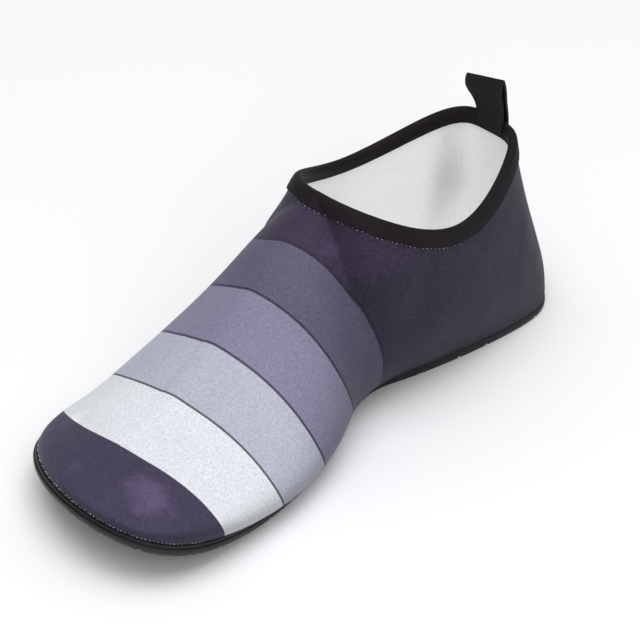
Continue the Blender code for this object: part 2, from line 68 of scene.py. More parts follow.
# One row for each section, from the back of the heel to the tip of the toe. The outline of the sole:
# along is a share of the length and out a share of the ball width, for the medial and the lateral side.
OUTLINE = (
    # medial_along, medial_out, lateral_along, lateral_out
    (0.000, 0.000, 0.000, 0.000),
    (0.030, 0.198, 0.042, 0.200),
    (0.113, 0.271, 0.103, 0.295),
    (0.285, 0.234, 0.260, 0.322),
    (0.417, 0.187, 0.386, 0.345),
    (0.516, 0.267, 0.498, 0.405),
    (0.587, 0.373, 0.587, 0.456),
    (0.695, 0.455, 0.692, 0.493),
    (0.833, 0.515, 0.785, 0.453),
    (0.968, 0.446, 0.913, 0.332),
    (0.997, 0.045, 0.997, -0.045),
)

# The same sections of the wall: how far it swells past the sole and rises at its foot, how far it
# reaches out, leads forward and drops at its top, as shares of the instep height.
MEDIAL_WALL = (
    # swell, rise, reach, lead, drop
    (0.084, 0.200, -0.011, 0.000, 0.279),
    (0.030, 0.150, 0.020, 0.000, 0.240),
    (0.050, 0.155, 0.065, 0.000, 0.215),
    (0.135, 0.175, 0.085, 0.005, 0.235),
    (0.220, 0.160, 0.115, 0.045, 0.175),
    (0.215, 0.160, 0.140, 0.130, 0.025),
    (0.210, 0.137, 0.210, 0.110, 0.012),
    (0.250, 0.060, 0.260, 0.060, 0.015),
    (0.187, 0.071, 0.285, 0.000, 0.020),
    (0.120, 0.105, 0.275, 0.000, 0.025),
    (0.035, 0.100, 0.260, 0.000, 0.020),
)
LATERAL_WALL = (
    # swell, rise, reach, lead, drop
    (0.084, 0.200, -0.011, 0.000, 0.279),
    (0.040, 0.240, -0.010, 0.000, 0.300),
    (0.050, 0.235, 0.010, 0.000, 0.290),
    (0.060, 0.245, 0.055, 0.005, 0.205),
    (0.085, 0.245, 0.073, 0.040, 0.120),
    (0.105, 0.205, 0.210, 0.110, 0.015),
    (0.070, 0.160, 0.195, 0.055, 0.012),
    (0.030, 0.120, 0.265, 0.010, 0.018),
    (0.025, 0.095, 0.290, 0.000, 0.025),
    (0.020, 0.090, 0.265, 0.000, 0.030),
    (0.035, 0.100, 0.260, 0.000, 0.020),
)

# The collar's edge from the heel to the throat: along is a share of the length, middle and half of the
# ball width, and its height is the sum of a share of the heel height and one of the instep height.
COLLAR = (
    # along, middle, half, of_heel, of_instep
    (0.090, 0.014, 0.000, 0.985, 0.000),
    (0.096, 0.016, 0.117, 0.985, 0.000),
    (0.146, 0.003, 0.232, 0.921, 0.000),
    (0.285, -0.006, 0.332, 0.678, 0.122),
    (0.428, 0.016, 0.238, 0.119, 0.758),
    (0.472, 0.013, 0.000, 0.000, 0.924),
)

# The ridge from the throat to the toe: along is a share of the length, middle of the ball width, and
# height, above the ground line, of the instep height.
RIDGE = (
    # along, middle, height
    (0.472, 0.013, 0.924),
    (0.550, 0.000, 0.780),
    (0.680, 0.030, 0.542),
    (0.785, 0.054, 0.380),
    (0.847, 0.075, 0.310),
    (0.885, 0.085, 0.270),
)

# The sole's side from the ground up: how far each ring stands out, as a share of the ledge, and how high
# it lies, as a share of the sole's thickness there. The notch at the top makes the side's step.
SOLE_SIDE = (
    # out, up
    (-0.60, 0.00),
    (0.30, 0.03),
    (0.62, 0.16),
    (0.88, 0.27),
    (1.00, 0.38),
    (1.00, 0.62),
    (0.94, 0.68),
    (0.60, 0.72),
    (0.54, 0.76),
    (0.55, 0.88),
    (0.47, 0.96),
    (0.25, 1.00),
)

# The sock liner's side from the bottom up: how far it is rounded in, and its height, as shares of its
# thickness.
LINER_SIDE = (
    # inward, up
    (0.00, 0.00),
    (0.00, 0.55),
    (0.06, 0.78),
    (0.22, 0.94),
    (0.50, 1.00),
)


class Side(Enum):
    """The side from which a fold in the knit is laid out."""

    TOP = "top"
    MEDIAL = "medial"
    LATERAL = "lateral"


class Thread(Enum):
    """The threads that show on the shoe."""

    PALE = "pale"
    BLACK = "black"


@dataclass(frozen=True)
class Fold:
    """A soft ridge or trough in the knit.

    The path holds pairs of along, a share of the length, and across: a share of the ball width where the
    fold is laid out from above, and of the instep height where it is laid out from a side.
    """

    name: str
    side: Side
    height: float
    width: float
    path: tuple[tuple[float, float], ...]


FOLDS = (
    Fold("vamp crest", Side.TOP, 0.0009, 0.0065,
         ((0.52, 0.020), (0.62, 0.035), (0.72, 0.052), (0.80, 0.075), (0.87, 0.095))),
    Fold("fold line beside the crest", Side.TOP, -0.00035, 0.0013,
         ((0.56, -0.030), (0.66, -0.025), (0.76, -0.012), (0.84, 0.010))),
    Fold("second fold line", Side.TOP, 0.00028, 0.0015,
         ((0.60, -0.115), (0.70, -0.120), (0.80, -0.100))),
    Fold("medial instep swell", Side.MEDIAL, 0.0010, 0.0080,
         ((0.36, 0.62), (0.43, 0.66), (0.50, 0.60))),
    Fold("hollow under the instep swell", Side.MEDIAL, -0.0008, 0.0090,
         ((0.33, 0.46), (0.42, 0.47), (0.50, 0.42))),
    Fold("lateral instep swell", Side.LATERAL, 0.0009, 0.0080,
         ((0.36, 0.62), (0.44, 0.68), (0.51, 0.62))),
    Fold("toe cap hollow", Side.TOP, -0.0007, 0.0080,
         ((0.90, 0.30), (0.93, 0.12), (0.93, -0.06))),
    Fold("toe cap swell", Side.TOP, 0.0007, 0.0070,
         ((0.88, 0.22), (0.89, 0.08), (0.88, -0.10))),
    Fold("medial heel hollow", Side.MEDIAL, -0.0007, 0.0110,
         ((0.10, 0.50), (0.17, 0.46), (0.25, 0.44))),
    Fold("lateral heel hollow", Side.LATERAL, -0.0007, 0.0110,
         ((0.10, 0.52), (0.18, 0.48), (0.27, 0.44))),
)


@dataclass(frozen=True)
class Sizes:
    """The shoe's own sizes, which its pieces share, in metres."""

    length: float = 0.265
    ball_width: float = 0.106
    instep_height: float = 0.104
    heel_height: float = 0.091
    toe_spring: float = 0.019
    heel_lift: float = 0.001
    arch_rise: float = 0.0015
    clearance: float = 0.0003
    wall: float = 0.002
    sole: float = 0.0045
    heel_sole: float = 0.0034
    ledge: float = 0.0022
    bumper: float = 0.0014
    liner: float = 0.003
    heel_pad_x: float = 0.036
    spring_start: float = 0.66
    heel_lift_end: float = 0.07
    arch_start: float = 0.33
    arch_end: float = 0.52
    thicken_start: float = 0.40
    thicken_end: float = 0.70
    ledge_start: float = 0.62
    heel_ledge: float = 0.25
    bumper_start: float = 0.78
    throat_share: float = 0.5
    crowding: float = 0.35


def column(table: Sequence[Sequence[float]], index: int) -> np.ndarray:
    """One named column of a section table."""
    return np.array([row[index] for row in table])


def smooth_step(share: np.ndarray | float) -> np.ndarray:
    """Ease from 0 to 1."""
    share = np.clip(share, 0.0, 1.0)
    return share * share * (3 - 2 * share)


def lengths_along(points: Sequence[Sequence[float]]) -> np.ndarray:
    """How far along the line each of its points lies."""
    steps = np.linalg.norm(np.diff(np.asarray(points, dtype=float), axis=0), axis=1)
    return np.concatenate([[0.0], np.cumsum(steps)])


def points_at(line: np.ndarray, places: np.ndarray) -> np.ndarray:
    """Points of a line of corners, each a given way along it."""
    reach = lengths_along(line)
    return np.stack([np.interp(places, reach, line[:, axis]) for axis in range(3)], -1)


def beside(i: int, count: int, closed: bool) -> tuple[int, int]:
    """The numbers before and after one in a row, which may close into a loop."""
    if closed:
        return (i - 1) % count, (i + 1) % count
    return max(i - 1, 0), min(i + 1, count - 1)


class Curve:
    """A smooth cubic curve through values at knots, closed in a loop or with free or level ends."""

    def __init__(self, knots: Sequence[float], values: Sequence[float], ends: str) -> None:
        """Fit the curve.

        Args:
            knots: Rising places along the curve.
            values: The value at each knot.
            ends: One of loop, level and free.
        """
        self.knots = np.asarray(knots, dtype=float)
        self.values = np.asarray(values, dtype=float)
        count = len(self.knots)
        step = np.diff(self.knots)
        rise = np.diff(self.values) / step
        system = np.zeros((count, count))
        right = np.zeros(count)
        for i in range(1, count - 1):
            system[i, i - 1:i + 2] = step[i - 1], 2 * (step[i - 1] + step[i]), step[i]
            right[i] = 6 * (rise[i] - rise[i - 1])
        if ends == "loop":
            system[0, 0] = 1
            system[0, -1] = -1
            system[-1, 0] = 2 * (step[0] + step[-1])
            system[-1, 1] = step[0]
            system[-1, -2] = step[-1]
            right[-1] = 6 * (rise[0] - rise[-1])
        elif ends == "level":
            system[0, :2] = 2 * step[0], step[0]
            right[0] = 6 * rise[0]
            system[-1, -2:] = step[-1], 2 * step[-1]
            right[-1] = -6 * rise[-1]
        else:
            system[0, 0] = 1
            system[-1, -1] = 1
        self.bends = np.linalg.solve(system, right)

    def _piece(self, at: np.ndarray) -> tuple[np.ndarray, np.ndarray, np.ndarray]:
        """The piece that holds each place, its length, and the share of the way along it."""
        at = np.asarray(at, dtype=float)
        i = np.clip(np.searchsorted(self.knots, at, side="right") - 1, 0, len(self.knots) - 2)
        step = self.knots[i + 1] - self.knots[i]
        return i, step, (at - self.knots[i]) / step

    def __call__(self, at: np.ndarray) -> np.ndarray:
        """The curve's values at places along it."""
        i, step, t = self._piece(at)
        low, high = self.values[i], self.values[i + 1]
        bend = (1 - t) ** 3 - (1 - t)
        swing = t ** 3 - t
        return low * (1 - t) + high * t + step ** 2 / 6 * (bend * self.bends[i] + swing * self.bends[i + 1])

    def slope(self, at: np.ndarray) -> np.ndarray:
        """The curve's slopes at places along it."""
        i, step, t = self._piece(at)
        low, high = self.values[i], self.values[i + 1]
        bend = 1 - 3 * (1 - t) ** 2
        swing = 3 * t ** 2 - 1
        return (high - low) / step + step / 6 * (bend * self.bends[i] + swing * self.bends[i + 1])


def around(medial: np.ndarray, lateral: np.ndarray) -> Curve:
    """A loop through the sections: medial side from heel to toe, then lateral side back to the heel."""
    shares = np.linspace(0.0, 1.0, len(medial))
    knots = np.concatenate([shares, 2.0 - shares[-2::-1]])
    return Curve(knots, np.concatenate([medial, lateral[-2::-1]]), "loop")


class Last:
    """The shape that sole, upper and tape share. Its ribs rise from the sole's outline.

    A rib is named by its turn: 0 is the back of the heel, 1 the tip of the toe on the medial way
    there, and 2 the heel again along the lateral side. Ribs end on the collar or on the ridge.
    """

    def __init__(self, sizes: Sizes) -> None:
        """Lay the section tables out as curves.

        Args:
            sizes: The shoe's own sizes.
        """
        self.sizes = sizes
        self.along = around(column(OUTLINE, 0), column(OUTLINE, 2))
        self.out = around(column(OUTLINE, 1), -column(OUTLINE, 3))
        self.swell, self.rise, self.reach, self.lead, self.drop = (
            around(column(MEDIAL_WALL, i), column(LATERAL_WALL, i)) for i in range(5))
        throat = sizes.throat_share
        collar = np.linspace(0.0, throat, len(COLLAR))
        ridge = np.linspace(throat, 1.0, len(RIDGE))
        collar_z = column(COLLAR, 3) * sizes.heel_height + column(COLLAR, 4) * sizes.instep_height
        ridge_x = column(RIDGE, 0) * sizes.length
        middle = np.concatenate([column(COLLAR, 1), column(RIDGE, 1)[1:]]) * sizes.ball_width
        self.collar_x = Curve(collar, column(COLLAR, 0) * sizes.length, "level")
        self.collar_z = Curve(collar, collar_z, "level")
        self.collar_half = Curve(collar, column(COLLAR, 2) * sizes.ball_width, "free")
        self.middle = Curve(np.concatenate([collar, ridge[1:]]), middle, "free")
        self.ridge_x = Curve(ridge, ridge_x, "free")
        self.ridge_z = Curve(ridge, self.ground(ridge_x) + column(RIDGE, 2) * sizes.instep_height, "free")

    def ground(self, x: np.ndarray) -> np.ndarray:
        """Height of the sole's lowest line above the floor: toe spring in front, a little lift behind."""
        sizes = self.sizes
        spring = np.clip((x / sizes.length - sizes.spring_start) / (1 - sizes.spring_start), 0.0, None)
        lift = np.clip((sizes.heel_lift_end - x / sizes.length) / sizes.heel_lift_end, 0.0, None)
        return sizes.toe_spring * spring ** 2 + sizes.heel_lift * lift ** 2

    def underside(self, x: np.ndarray) -> np.ndarray:
        """Height of the sole's underside, hollowed under the waist."""
        sizes = self.sizes
        share = (x / sizes.length - sizes.arch_start) / (sizes.arch_end - sizes.arch_start)
        return self.ground(x) + sizes.arch_rise * np.sin(math.pi * np.clip(share, 0.0, 1.0)) ** 2

    def deck(self, x: np.ndarray) -> np.ndarray:
        """Height of the sole's upper face: thin at the heel, more at the ball, most in the toe's bumper."""
        sizes = self.sizes
        share = x / sizes.length
        ball = smooth_step((share - sizes.thicken_start) / (sizes.thicken_end - sizes.thicken_start))
        toe = smooth_step((share - sizes.bumper_start) / (1 - sizes.bumper_start))
        thickness = sizes.heel_sole + (sizes.sole - sizes.heel_sole) * ball + sizes.bumper * toe
        return self.ground(x) + thickness

    def ledge(self, x: np.ndarray) -> np.ndarray:
        """How far the rubber's edge stands out past the upper's foot: least behind, most at the toe."""
        sizes = self.sizes
        toe = smooth_step((x / sizes.length - sizes.ledge_start) / (1 - sizes.ledge_start))
        return sizes.ledge * (sizes.heel_ledge + (1 - sizes.heel_ledge) * toe)

    def turns(self, side_columns: int) -> np.ndarray:
        """Turns of the ribs once around the shoe, closer together at heel, throat and toe."""
        even = np.linspace(0.0, 1.0, side_columns + 1)
        shares = even - self.sizes.crowding * np.sin(4 * math.pi * even) / (4 * math.pi)
        return np.concatenate([shares, 2.0 - shares[-2:0:-1]])

    def outline(self, turn: np.ndarray) -> tuple[np.ndarray, np.ndarray]:
        """Plan points of the sole's outline and the outward directions there."""
        turn = turn % 2.0
        point = np.stack([self.along(turn) * self.sizes.length, self.out(turn) * self.sizes.ball_width], -1)
        run = self.along.slope(turn) * self.sizes.length
        side = self.out.slope(turn) * self.sizes.ball_width
        outward = np.stack([-side, run], -1)
        return point, outward / np.linalg.norm(outward, axis=-1, keepdims=True)

    def top(self, turn: np.ndarray) -> np.ndarray:
        """Where ribs end: on the collar's edge behind the throat, on the ridge before it."""
        turn = turn % 2.0
        share = np.where(turn <= 1.0, turn, 2.0 - turn)
        side = np.where(turn <= 1.0, 1.0, -1.0)
        behind = np.minimum(share, self.sizes.throat_share)
        before = np.maximum(share, self.sizes.throat_share)
        on_collar = share < self.sizes.throat_share
        x = np.where(on_collar, self.collar_x(behind), self.ridge_x(before))
        y = self.middle(share) + np.where(on_collar, side * self.collar_half(behind), 0.0)
        z = np.where(on_collar, self.collar_z(behind), self.ridge_z(before))
        return np.stack([x, y, z], -1)

    def fall(self, turn: np.ndarray) -> np.ndarray:
        """The ridge's slope, which a rib's upper end follows so that the two sides meet smoothly."""
        turn = turn % 2.0
        share = np.where(turn <= 1.0, turn, 2.0 - turn)
        before = np.maximum(share, self.sizes.throat_share)
        slope = self.ridge_z.slope(before) / self.ridge_x.slope(before)
        return slope * smooth_step(share / self.sizes.throat_share)

    def wall(self, turns: np.ndarray, rises: np.ndarray) -> np.ndarray:
        """Points of the upper's outer face.

        Args:
            turns: One turn for each rib.
            rises: One share of the way up for each row, from 0 at the sole to 1.

        Returns:
            Points by rib, row and axis.
        """
        height = self.sizes.instep_height
        turns = np.asarray(turns) % 2.0
        plan, outward = self.outline(turns)
        seat = self.deck(plan[:, 0]) + self.sizes.clearance
        foot = np.concatenate([plan, seat[:, None]], -1)
        low = foot.copy()
        low[:, :2] += outward * (self.swell(turns) * height)[:, None]
        low[:, 2] += self.rise(turns) * height
        top = self.top(turns)
        shift = outward * (self.reach(turns) * height)[:, None]
        shift[:, 0] += self.lead(turns) * height
        high = top.copy()
        high[:, :2] += shift
        high[:, 2] += self.fall(turns) * shift[:, 0] - self.drop(turns) * height
        foot, low, high, top = (p[:, None, :] for p in (foot, low, high, top))
        up = np.asarray(rises)[None, :, None]
        down = 1 - up
        return down ** 3 * foot + 3 * down ** 2 * up * low + 3 * down * up ** 2 * high + up ** 3 * top

    def ring(self, turns: np.ndarray, out: Curves, height: Curves) -> np.ndarray:
        """The outline moved out by a distance, at a height, both as functions of x."""
        plan, outward = self.outline(turns)
        plan = plan + outward * out(plan[:, 0])[:, None]
        return np.concatenate([plan, height(plan[:, 0])[:, None]], -1)


def grid_mesh(points: np.ndarray, closed: tuple[bool, bool]) -> bmesh.types.BMesh:
    """Lay quads over a grid of points, with the cloth's own measure along both ways as its UV.

    Args:
        points: Points by column, row and axis.
        closed: Whether the columns and the rows close into loops.

    Returns:
        The mesh.
    """
    bm = bmesh.new()
    layer = bm.loops.layers.uv.verify()
    columns, rows = points.shape[:2]
    verts = [[bm.verts.new(point) for point in line] for line in points]
    wrap = np.concatenate([points, points[:1]], 0)
    wrap = np.concatenate([wrap, wrap[:, :1]], 1)
    across = lengths_along(wrap[:, rows // 2])
    upward = lengths_along(wrap[columns // 2])
    for i in range(columns if closed[0] else columns - 1):
        for k in range(rows if closed[1] else rows - 1):
            corners = ((i, k), (i, k + 1), (i + 1, k + 1), (i + 1, k))
            face = bm.faces.new([verts[a % columns][b % rows] for a, b in corners])
            for loop, (a, b) in zip(face.loops, corners):
                loop[layer].uv = (across[a], upward[b])
    bmesh.ops.recalc_face_normals(bm, faces=bm.faces)
    return bm


def eased(normals: Sequence[Vector], closed: bool) -> list[Vector]:
    """Normals along a row, each averaged with its neighbours."""
    count = len(normals)
    result = []
    for i, normal in enumerate(normals):
        back, ahead = beside(i, count, closed)
        result.append((normals[back] + 2 * normal + normals[ahead]).normalized())
    return result


class WallSurface:
    """The upper's folded outer face, for laying tape and thread along it."""

    def __init__(self, bm: bmesh.types.BMesh) -> None:
        """Keep the mesh and a search tree over it.

        Args:
            bm: The upper's outer face.
        """
        self.mesh = bm
        self.mesh.normal_update()
        self.mesh.faces.ensure_lookup_table()
        self.tree = BVHTree.FromBMesh(self.mesh)

    def nearest(self, point: Vector) -> tuple[Vector, Vector]:
        """The nearest point of the face, and its smooth normal."""
        place, _, index, _ = self.tree.find_nearest(point)
        face = self.mesh.faces[index]
        weights = poly_3d_calc([vert.co for vert in face.verts], place)
        normal = Vector()
        for vert, weight in zip(face.verts, weights):
            normal += vert.normal * weight
        return place, normal.normalized()


class CollarEdge:
    """Stations along the collar's edge, each with its outward and its downward direction."""

    def __init__(self, points: np.ndarray, surface: WallSurface, closed: bool) -> None:
        """Find each station's directions.

        Args:
            points: The stations.
            surface: The wall below the edge.
            closed: Whether the stations go all the way round.
        """
        self.points = [Vector(point) for point in points]
        self.surface = surface
        self.closed = closed
        self.outward: list[Vector] = []
        self.downward: list[Vector] = []
        count = len(self.points)
        normals = eased([surface.nearest(point)[1] for point in self.points], closed)
        for i in range(count):
            back, ahead = beside(i, count, closed)
            along = (self.points[ahead] - self.points[back]).normalized()
            normal = (normals[i] - along * normals[i].dot(along)).normalized()
            down = normal.cross(along)
            self.outward.append(normal)
            self.downward.append(-down if down.z > 0 else down)

    def below(self, depths: Sequence[float]) -> list[tuple[Vector, Vector]]:
        """Places on the wall, each at its own depth below its station, with their normals."""
        found = [self.surface.nearest(point + down * depth)
                 for point, down, depth in zip(self.points, self.downward, depths)]
        return list(zip([place for place, _ in found], eased([normal for _, normal in found], self.closed)))


class Graph:
    """A node tree that is being wired."""

    def __init__(self, tree: bpy.types.NodeTree) -> None:
        """Start on a tree."""
        self.tree = tree

    def node(self, kind: str, **settings: object) -> bpy.types.Node:
        """A new node with its settings."""
        made = self.tree.nodes.new(kind)
        for name, value in settings.items():
            setattr(made, name, value)
        return made

    def feed(self, socket: Socket, value: object) -> None:
        """Link a socket to another, or set its value."""
        if isinstance(value, Socket):
            self.tree.links.new(value, socket)
        else:
            socket.default_value = value

    def math(self, operation: str, *values: object) -> Socket:
        """The result of a math node."""
        made = self.node("ShaderNodeMath", operation=operation)
        for socket, value in zip(made.inputs, values):
            self.feed(socket, value)
        return made.outputs[0]

    def vector(self, operation: str, *values: object) -> Socket:
        """The result of a vector math node: a number from a length, and otherwise a vector."""
        made = self.node("ShaderNodeVectorMath", operation=operation)
        for socket, value in zip(made.inputs, values):
            self.feed(socket, value)
        return made.outputs["Value" if operation == "LENGTH" else "Vector"]

    def ease(self, value: Socket, low: float, high: float, start: float = 0.0, end: float = 1.0) -> Socket:
        """A value eased from start to end as it goes from low to high."""
        made = self.node("ShaderNodeMapRange", interpolation_type="SMOOTHSTEP")
        for socket, given in zip(made.inputs, (value, low, high, start, end)):
            self.feed(socket, given)
        return made.outputs[0]

    def mix(self, factor: object, under: object, over: object, blend: str = "MIX") -> Socket:
        """Two colours mixed."""
        made = self.node("ShaderNodeMix", data_type="RGBA", blend_type=blend)
        self.feed(made.inputs[0], factor)
        self.feed(made.inputs[6], under)
        self.feed(made.inputs[7], over)
        return made.outputs[2]

    def parts(self, vector: Socket) -> tuple[Socket, Socket, Socket]:
        """A vector's three parts."""
        made = self.node("ShaderNodeSeparateXYZ")
        self.feed(made.inputs[0], vector)
        return made.outputs[0], made.outputs[1], made.outputs[2]

    def place(self, tree: bpy.types.NodeTree, **values: object) -> dict[str, Socket]:
        """Use a shader group here.

        Args:
            tree: The group.
            **values: Its inputs by name, with underscores for spaces.

        Returns:
            Its outputs by name.
        """
        made = self.node("ShaderNodeGroup", node_tree=tree)
        for name, value in values.items():
            self.feed(made.inputs[name.replace("_", " ")], value)
        return {socket.name: socket for socket in made.outputs}


class ShaderGroups:
    """The effects that more than one finish uses, as shader node groups built once."""

    edge_softness = 0.0002
    line_core, line_rim = 0.35, 0.65
    course_share = 0.8
    loop_slant = 1.3
    loop_depth = 0.25
    wale_roundness = 0.6
    facing_power = 6.0
    warp_depth = 0.3
    rim_scale = 90.0

    def __init__(self) -> None:
        """Build the groups."""
        self.print_edge = self._print_edge()
        self.knit_face = self._knit_face()
        self.knit = self._knit()
        self.weave = self._weave()
        self.mottle = self._mottle()
        self.painted_light_patch = self._painted_light_patch()
        self.lint = self._lint()

    @staticmethod
    def _start(name: str, outputs: Sequence[str],
               **inputs: float | None) -> tuple[Graph, dict[str, Socket], bpy.types.Node]:
        """Open a new group.

        Args:
            name: The group's name.
            outputs: The name of each output, a number.
            **inputs: The default of each input by name, with underscores for spaces. A vector has none.

        Returns:
            The graph, its inputs by name, and the node that takes its outputs.
        """
        tree = bpy.data.node_groups.new(name, "ShaderNodeTree")
        for label, default in inputs.items():
            kind = "NodeSocketVector" if default is None else "NodeSocketFloat"
            socket = tree.interface.new_socket(name=label.replace("_", " "), in_out="INPUT", socket_type=kind)
            if default is not None:
                socket.default_value = default
        for label in outputs:
            tree.interface.new_socket(name=label, in_out="OUTPUT", socket_type="NodeSocketFloat")
        graph = Graph(tree)
        given = {socket.name: socket for socket in graph.node("NodeGroupInput").outputs}
        return graph, given, graph.node("NodeGroupOutput")

    def _print_edge(self) -> bpy.types.NodeTree:
        """Where a printed band ends: a mask ahead of the edge, and the dark line along it."""
        graph, given, result = self._start("print_edge", ("Ahead", "Line"), Position=None, Place=0.1,
                                           Out=0.0, Up=0.3, Bow=-3.0, Twist=0.0, Line=0.0009)
        x, y, z = graph.parts(given["Position"])
        edge = graph.math("MULTIPLY_ADD", y, given["Out"], given["Place"])
        edge = graph.math("MULTIPLY_ADD", z, given["Up"], edge)
        square = graph.math("MULTIPLY", y, y)
        edge = graph.math("MULTIPLY_ADD", square, given["Bow"], edge)
        edge = graph.math("MULTIPLY_ADD", graph.math("MULTIPLY", square, y), given["Twist"], edge)
        ahead = graph.math("SUBTRACT", x, edge)
        graph.feed(result.inputs["Ahead"], graph.ease(ahead, -self.edge_softness, self.edge_softness))
        share = graph.math("DIVIDE", graph.math("ABSOLUTE", ahead), given["Line"])
        graph.feed(result.inputs["Line"], graph.ease(share, self.line_core, self.line_rim, 1.0, 0.0))
        return graph.tree

    def _knit_face(self) -> bpy.types.NodeTree:
        """Rows of knitted loops in a plane: wales side by side, each a column of small Vs."""
        graph, given, result = self._start("knit_face", ("Height",), Across=0.0, Along=0.0, Wale=0.0007)
        wale = graph.math("FRACT", graph.math("DIVIDE", given["Across"], given["Wale"]))
        pitch = graph.math("MULTIPLY", given["Wale"], self.course_share)
        course = graph.math("DIVIDE", given["Along"], pitch)
        off = graph.math("ABSOLUTE", graph.math("SUBTRACT", wale, 0.5))
        phase = graph.math("MULTIPLY", graph.math("MULTIPLY_ADD", off, self.loop_slant, course), 2 * math.pi)
        loops = graph.math("MULTIPLY_ADD", graph.math("COSINE", phase), self.loop_depth, 1 - self.loop_depth)
        rib = graph.math("SINE", graph.math("MULTIPLY", wale, math.pi))
        rounded = graph.math("POWER", rib, self.wale_roundness)
        graph.feed(result.inputs["Height"], graph.math("MULTIPLY", loops, rounded))
        return graph.tree

    def _knit(self) -> bpy.types.NodeTree:
        """Knitted loops over a curved surface, laid on from above, the sides and the ends."""
        graph, given, result = self._start("knit", ("Height",), Position=None, Normal=None, Wale=0.0007)
        x, y, z = graph.parts(given["Position"])
        weights = [graph.math("POWER", graph.math("ABSOLUTE", part), self.facing_power)
                   for part in graph.parts(given["Normal"])]
        total = graph.math("ADD", graph.math("ADD", weights[0], weights[1]), weights[2])
        height: object = 0.0
        for weight, (across, along) in zip(weights, ((y, z), (x, z), (y, x))):
            face = graph.place(self.knit_face, Across=across, Along=along, Wale=given["Wale"])["Height"]
            height = graph.math("MULTIPLY_ADD", face, weight, height)
        graph.feed(result.inputs["Height"], graph.math("DIVIDE", height, total))
        return graph.tree

    def _weave(self) -> bpy.types.NodeTree:
        """A woven tape: rounded ribs across it, crossed by finer warp threads."""
        graph, given, result = self._start("weave", ("Height",), Cloth=None, Rib=0.0009, Warp=0.0005,
                                           Slant=0.0)
        u, v, _ = graph.parts(given["Cloth"])
        slanted = graph.math("MULTIPLY_ADD", v, given["Slant"], u)
        ribs, warps = (graph.math("SINE", graph.math("MULTIPLY", graph.math("DIVIDE", along, given[size]),
                                                     2 * math.pi))
                       for along, size in ((slanted, "Rib"), (v, "Warp")))
        both = graph.math("MULTIPLY", graph.math("MULTIPLY", ribs, warps), self.warp_depth)
        height = graph.math("ADD", graph.math("MULTIPLY_ADD", ribs, 0.5, 0.5), both)
        graph.feed(result.inputs["Height"], height)
        return graph.tree

    def _mottle(self) -> bpy.types.NodeTree:
        """Uneven tone: broad soft clouds and a fine speckle, around 1."""
        graph, given, result = self._start("mottle", ("Tone", "Cloud"), Position=None, Cloud=40.0,
                                           Cloud_Depth=0.1, Speck=1400.0, Speck_Depth=0.1)
        tones = []
        for size, depth, detail in (("Cloud", "Cloud Depth", 2.0), ("Speck", "Speck Depth", 1.0)):
            fog = graph.node("ShaderNodeTexNoise")
            graph.feed(fog.inputs["Vector"], given["Position"])
            graph.feed(fog.inputs["Scale"], given[size])
            fog.inputs["Detail"].default_value = detail
            off = graph.math("SUBTRACT", fog.outputs["Fac"], 0.5)
            tones.append(graph.math("MULTIPLY", off, given[depth]))
            if size == "Cloud":
                graph.feed(result.inputs["Cloud"], fog.outputs["Fac"])
        both = graph.math("MULTIPLY_ADD", graph.math("ADD", *tones), 2.0, 1.0)
        graph.feed(result.inputs["Tone"], both)
        return graph.tree

    def _painted_light_patch(self) -> bpy.types.NodeTree:
        """A soft round patch of painted light with a cloudy rim, around a point: the mask for painted
        highlights and painted shadows.
        """
        graph, given, result = self._start("painted_light_patch", ("Mask",), Position=None, Middle=None,
                                           Reach=None, Cloud=1.6, Depth=1.0)
        off = graph.vector("SUBTRACT", given["Position"], given["Middle"])
        away = graph.vector("LENGTH", graph.vector("DIVIDE", off, given["Reach"]))
        fog = graph.node("ShaderNodeTexNoise")
        graph.feed(fog.inputs["Vector"], given["Position"])
        fog.inputs["Scale"].default_value = self.rim_scale
        fog.inputs["Detail"].default_value = 2.0
        cloud = graph.math("MULTIPLY", graph.math("SUBTRACT", fog.outputs["Fac"], 0.5), given["Cloud"])
        uneven = graph.math("ADD", cloud, away)
        graph.feed(result.inputs["Mask"],
                   graph.math("MULTIPLY", graph.ease(uneven, 0.0, 1.0, 1.0, 0.0), given["Depth"]))
        return graph.tree

    def _lint(self) -> bpy.types.NodeTree:
        """Scattered pale specks of lint or dust."""
        graph, given, result = self._start("lint", ("Mask",), Position=None, Spacing=0.004, Size=0.0003)
        cells = graph.node("ShaderNodeTexVoronoi", feature="F1")
        graph.feed(cells.inputs["Vector"], given["Position"])
        graph.feed(cells.inputs["Scale"], graph.math("DIVIDE", 1.0, given["Spacing"]))
        near = graph.math("MULTIPLY", cells.outputs["Distance"], given["Spacing"])
        share = graph.math("DIVIDE", near, given["Size"])
        graph.feed(result.inputs["Mask"], graph.ease(share, 0.5, 1.0, 1.0, 0.0))
        return graph.tree


def rgba(colour: Colour) -> tuple[float, float, float, float]:
    """A colour with full alpha."""
    return (*colour, 1.0)


@dataclass(frozen=True)
class Mottle:
    """Uneven tone: the scale and the depth of its soft clouds, then those of its fine specks."""

    cloud: float
    cloud_depth: float
    speck: float
    speck_depth: float


@dataclass(frozen=True)
class Lint:
    """Specks of lint or dust: how far apart, how wide, how strong, and their colour."""

    spacing: float
    size: float
    depth: float
    colour: Colour


@dataclass(frozen=True)
class PaintedLightPatch:
    """A soft patch of painted light, paler for a painted highlight on the knit and greyer for a painted
    shadow in the lining: its middle, reach and depth.
    """

    middle: Triple
    reach: Triple
    depth: float


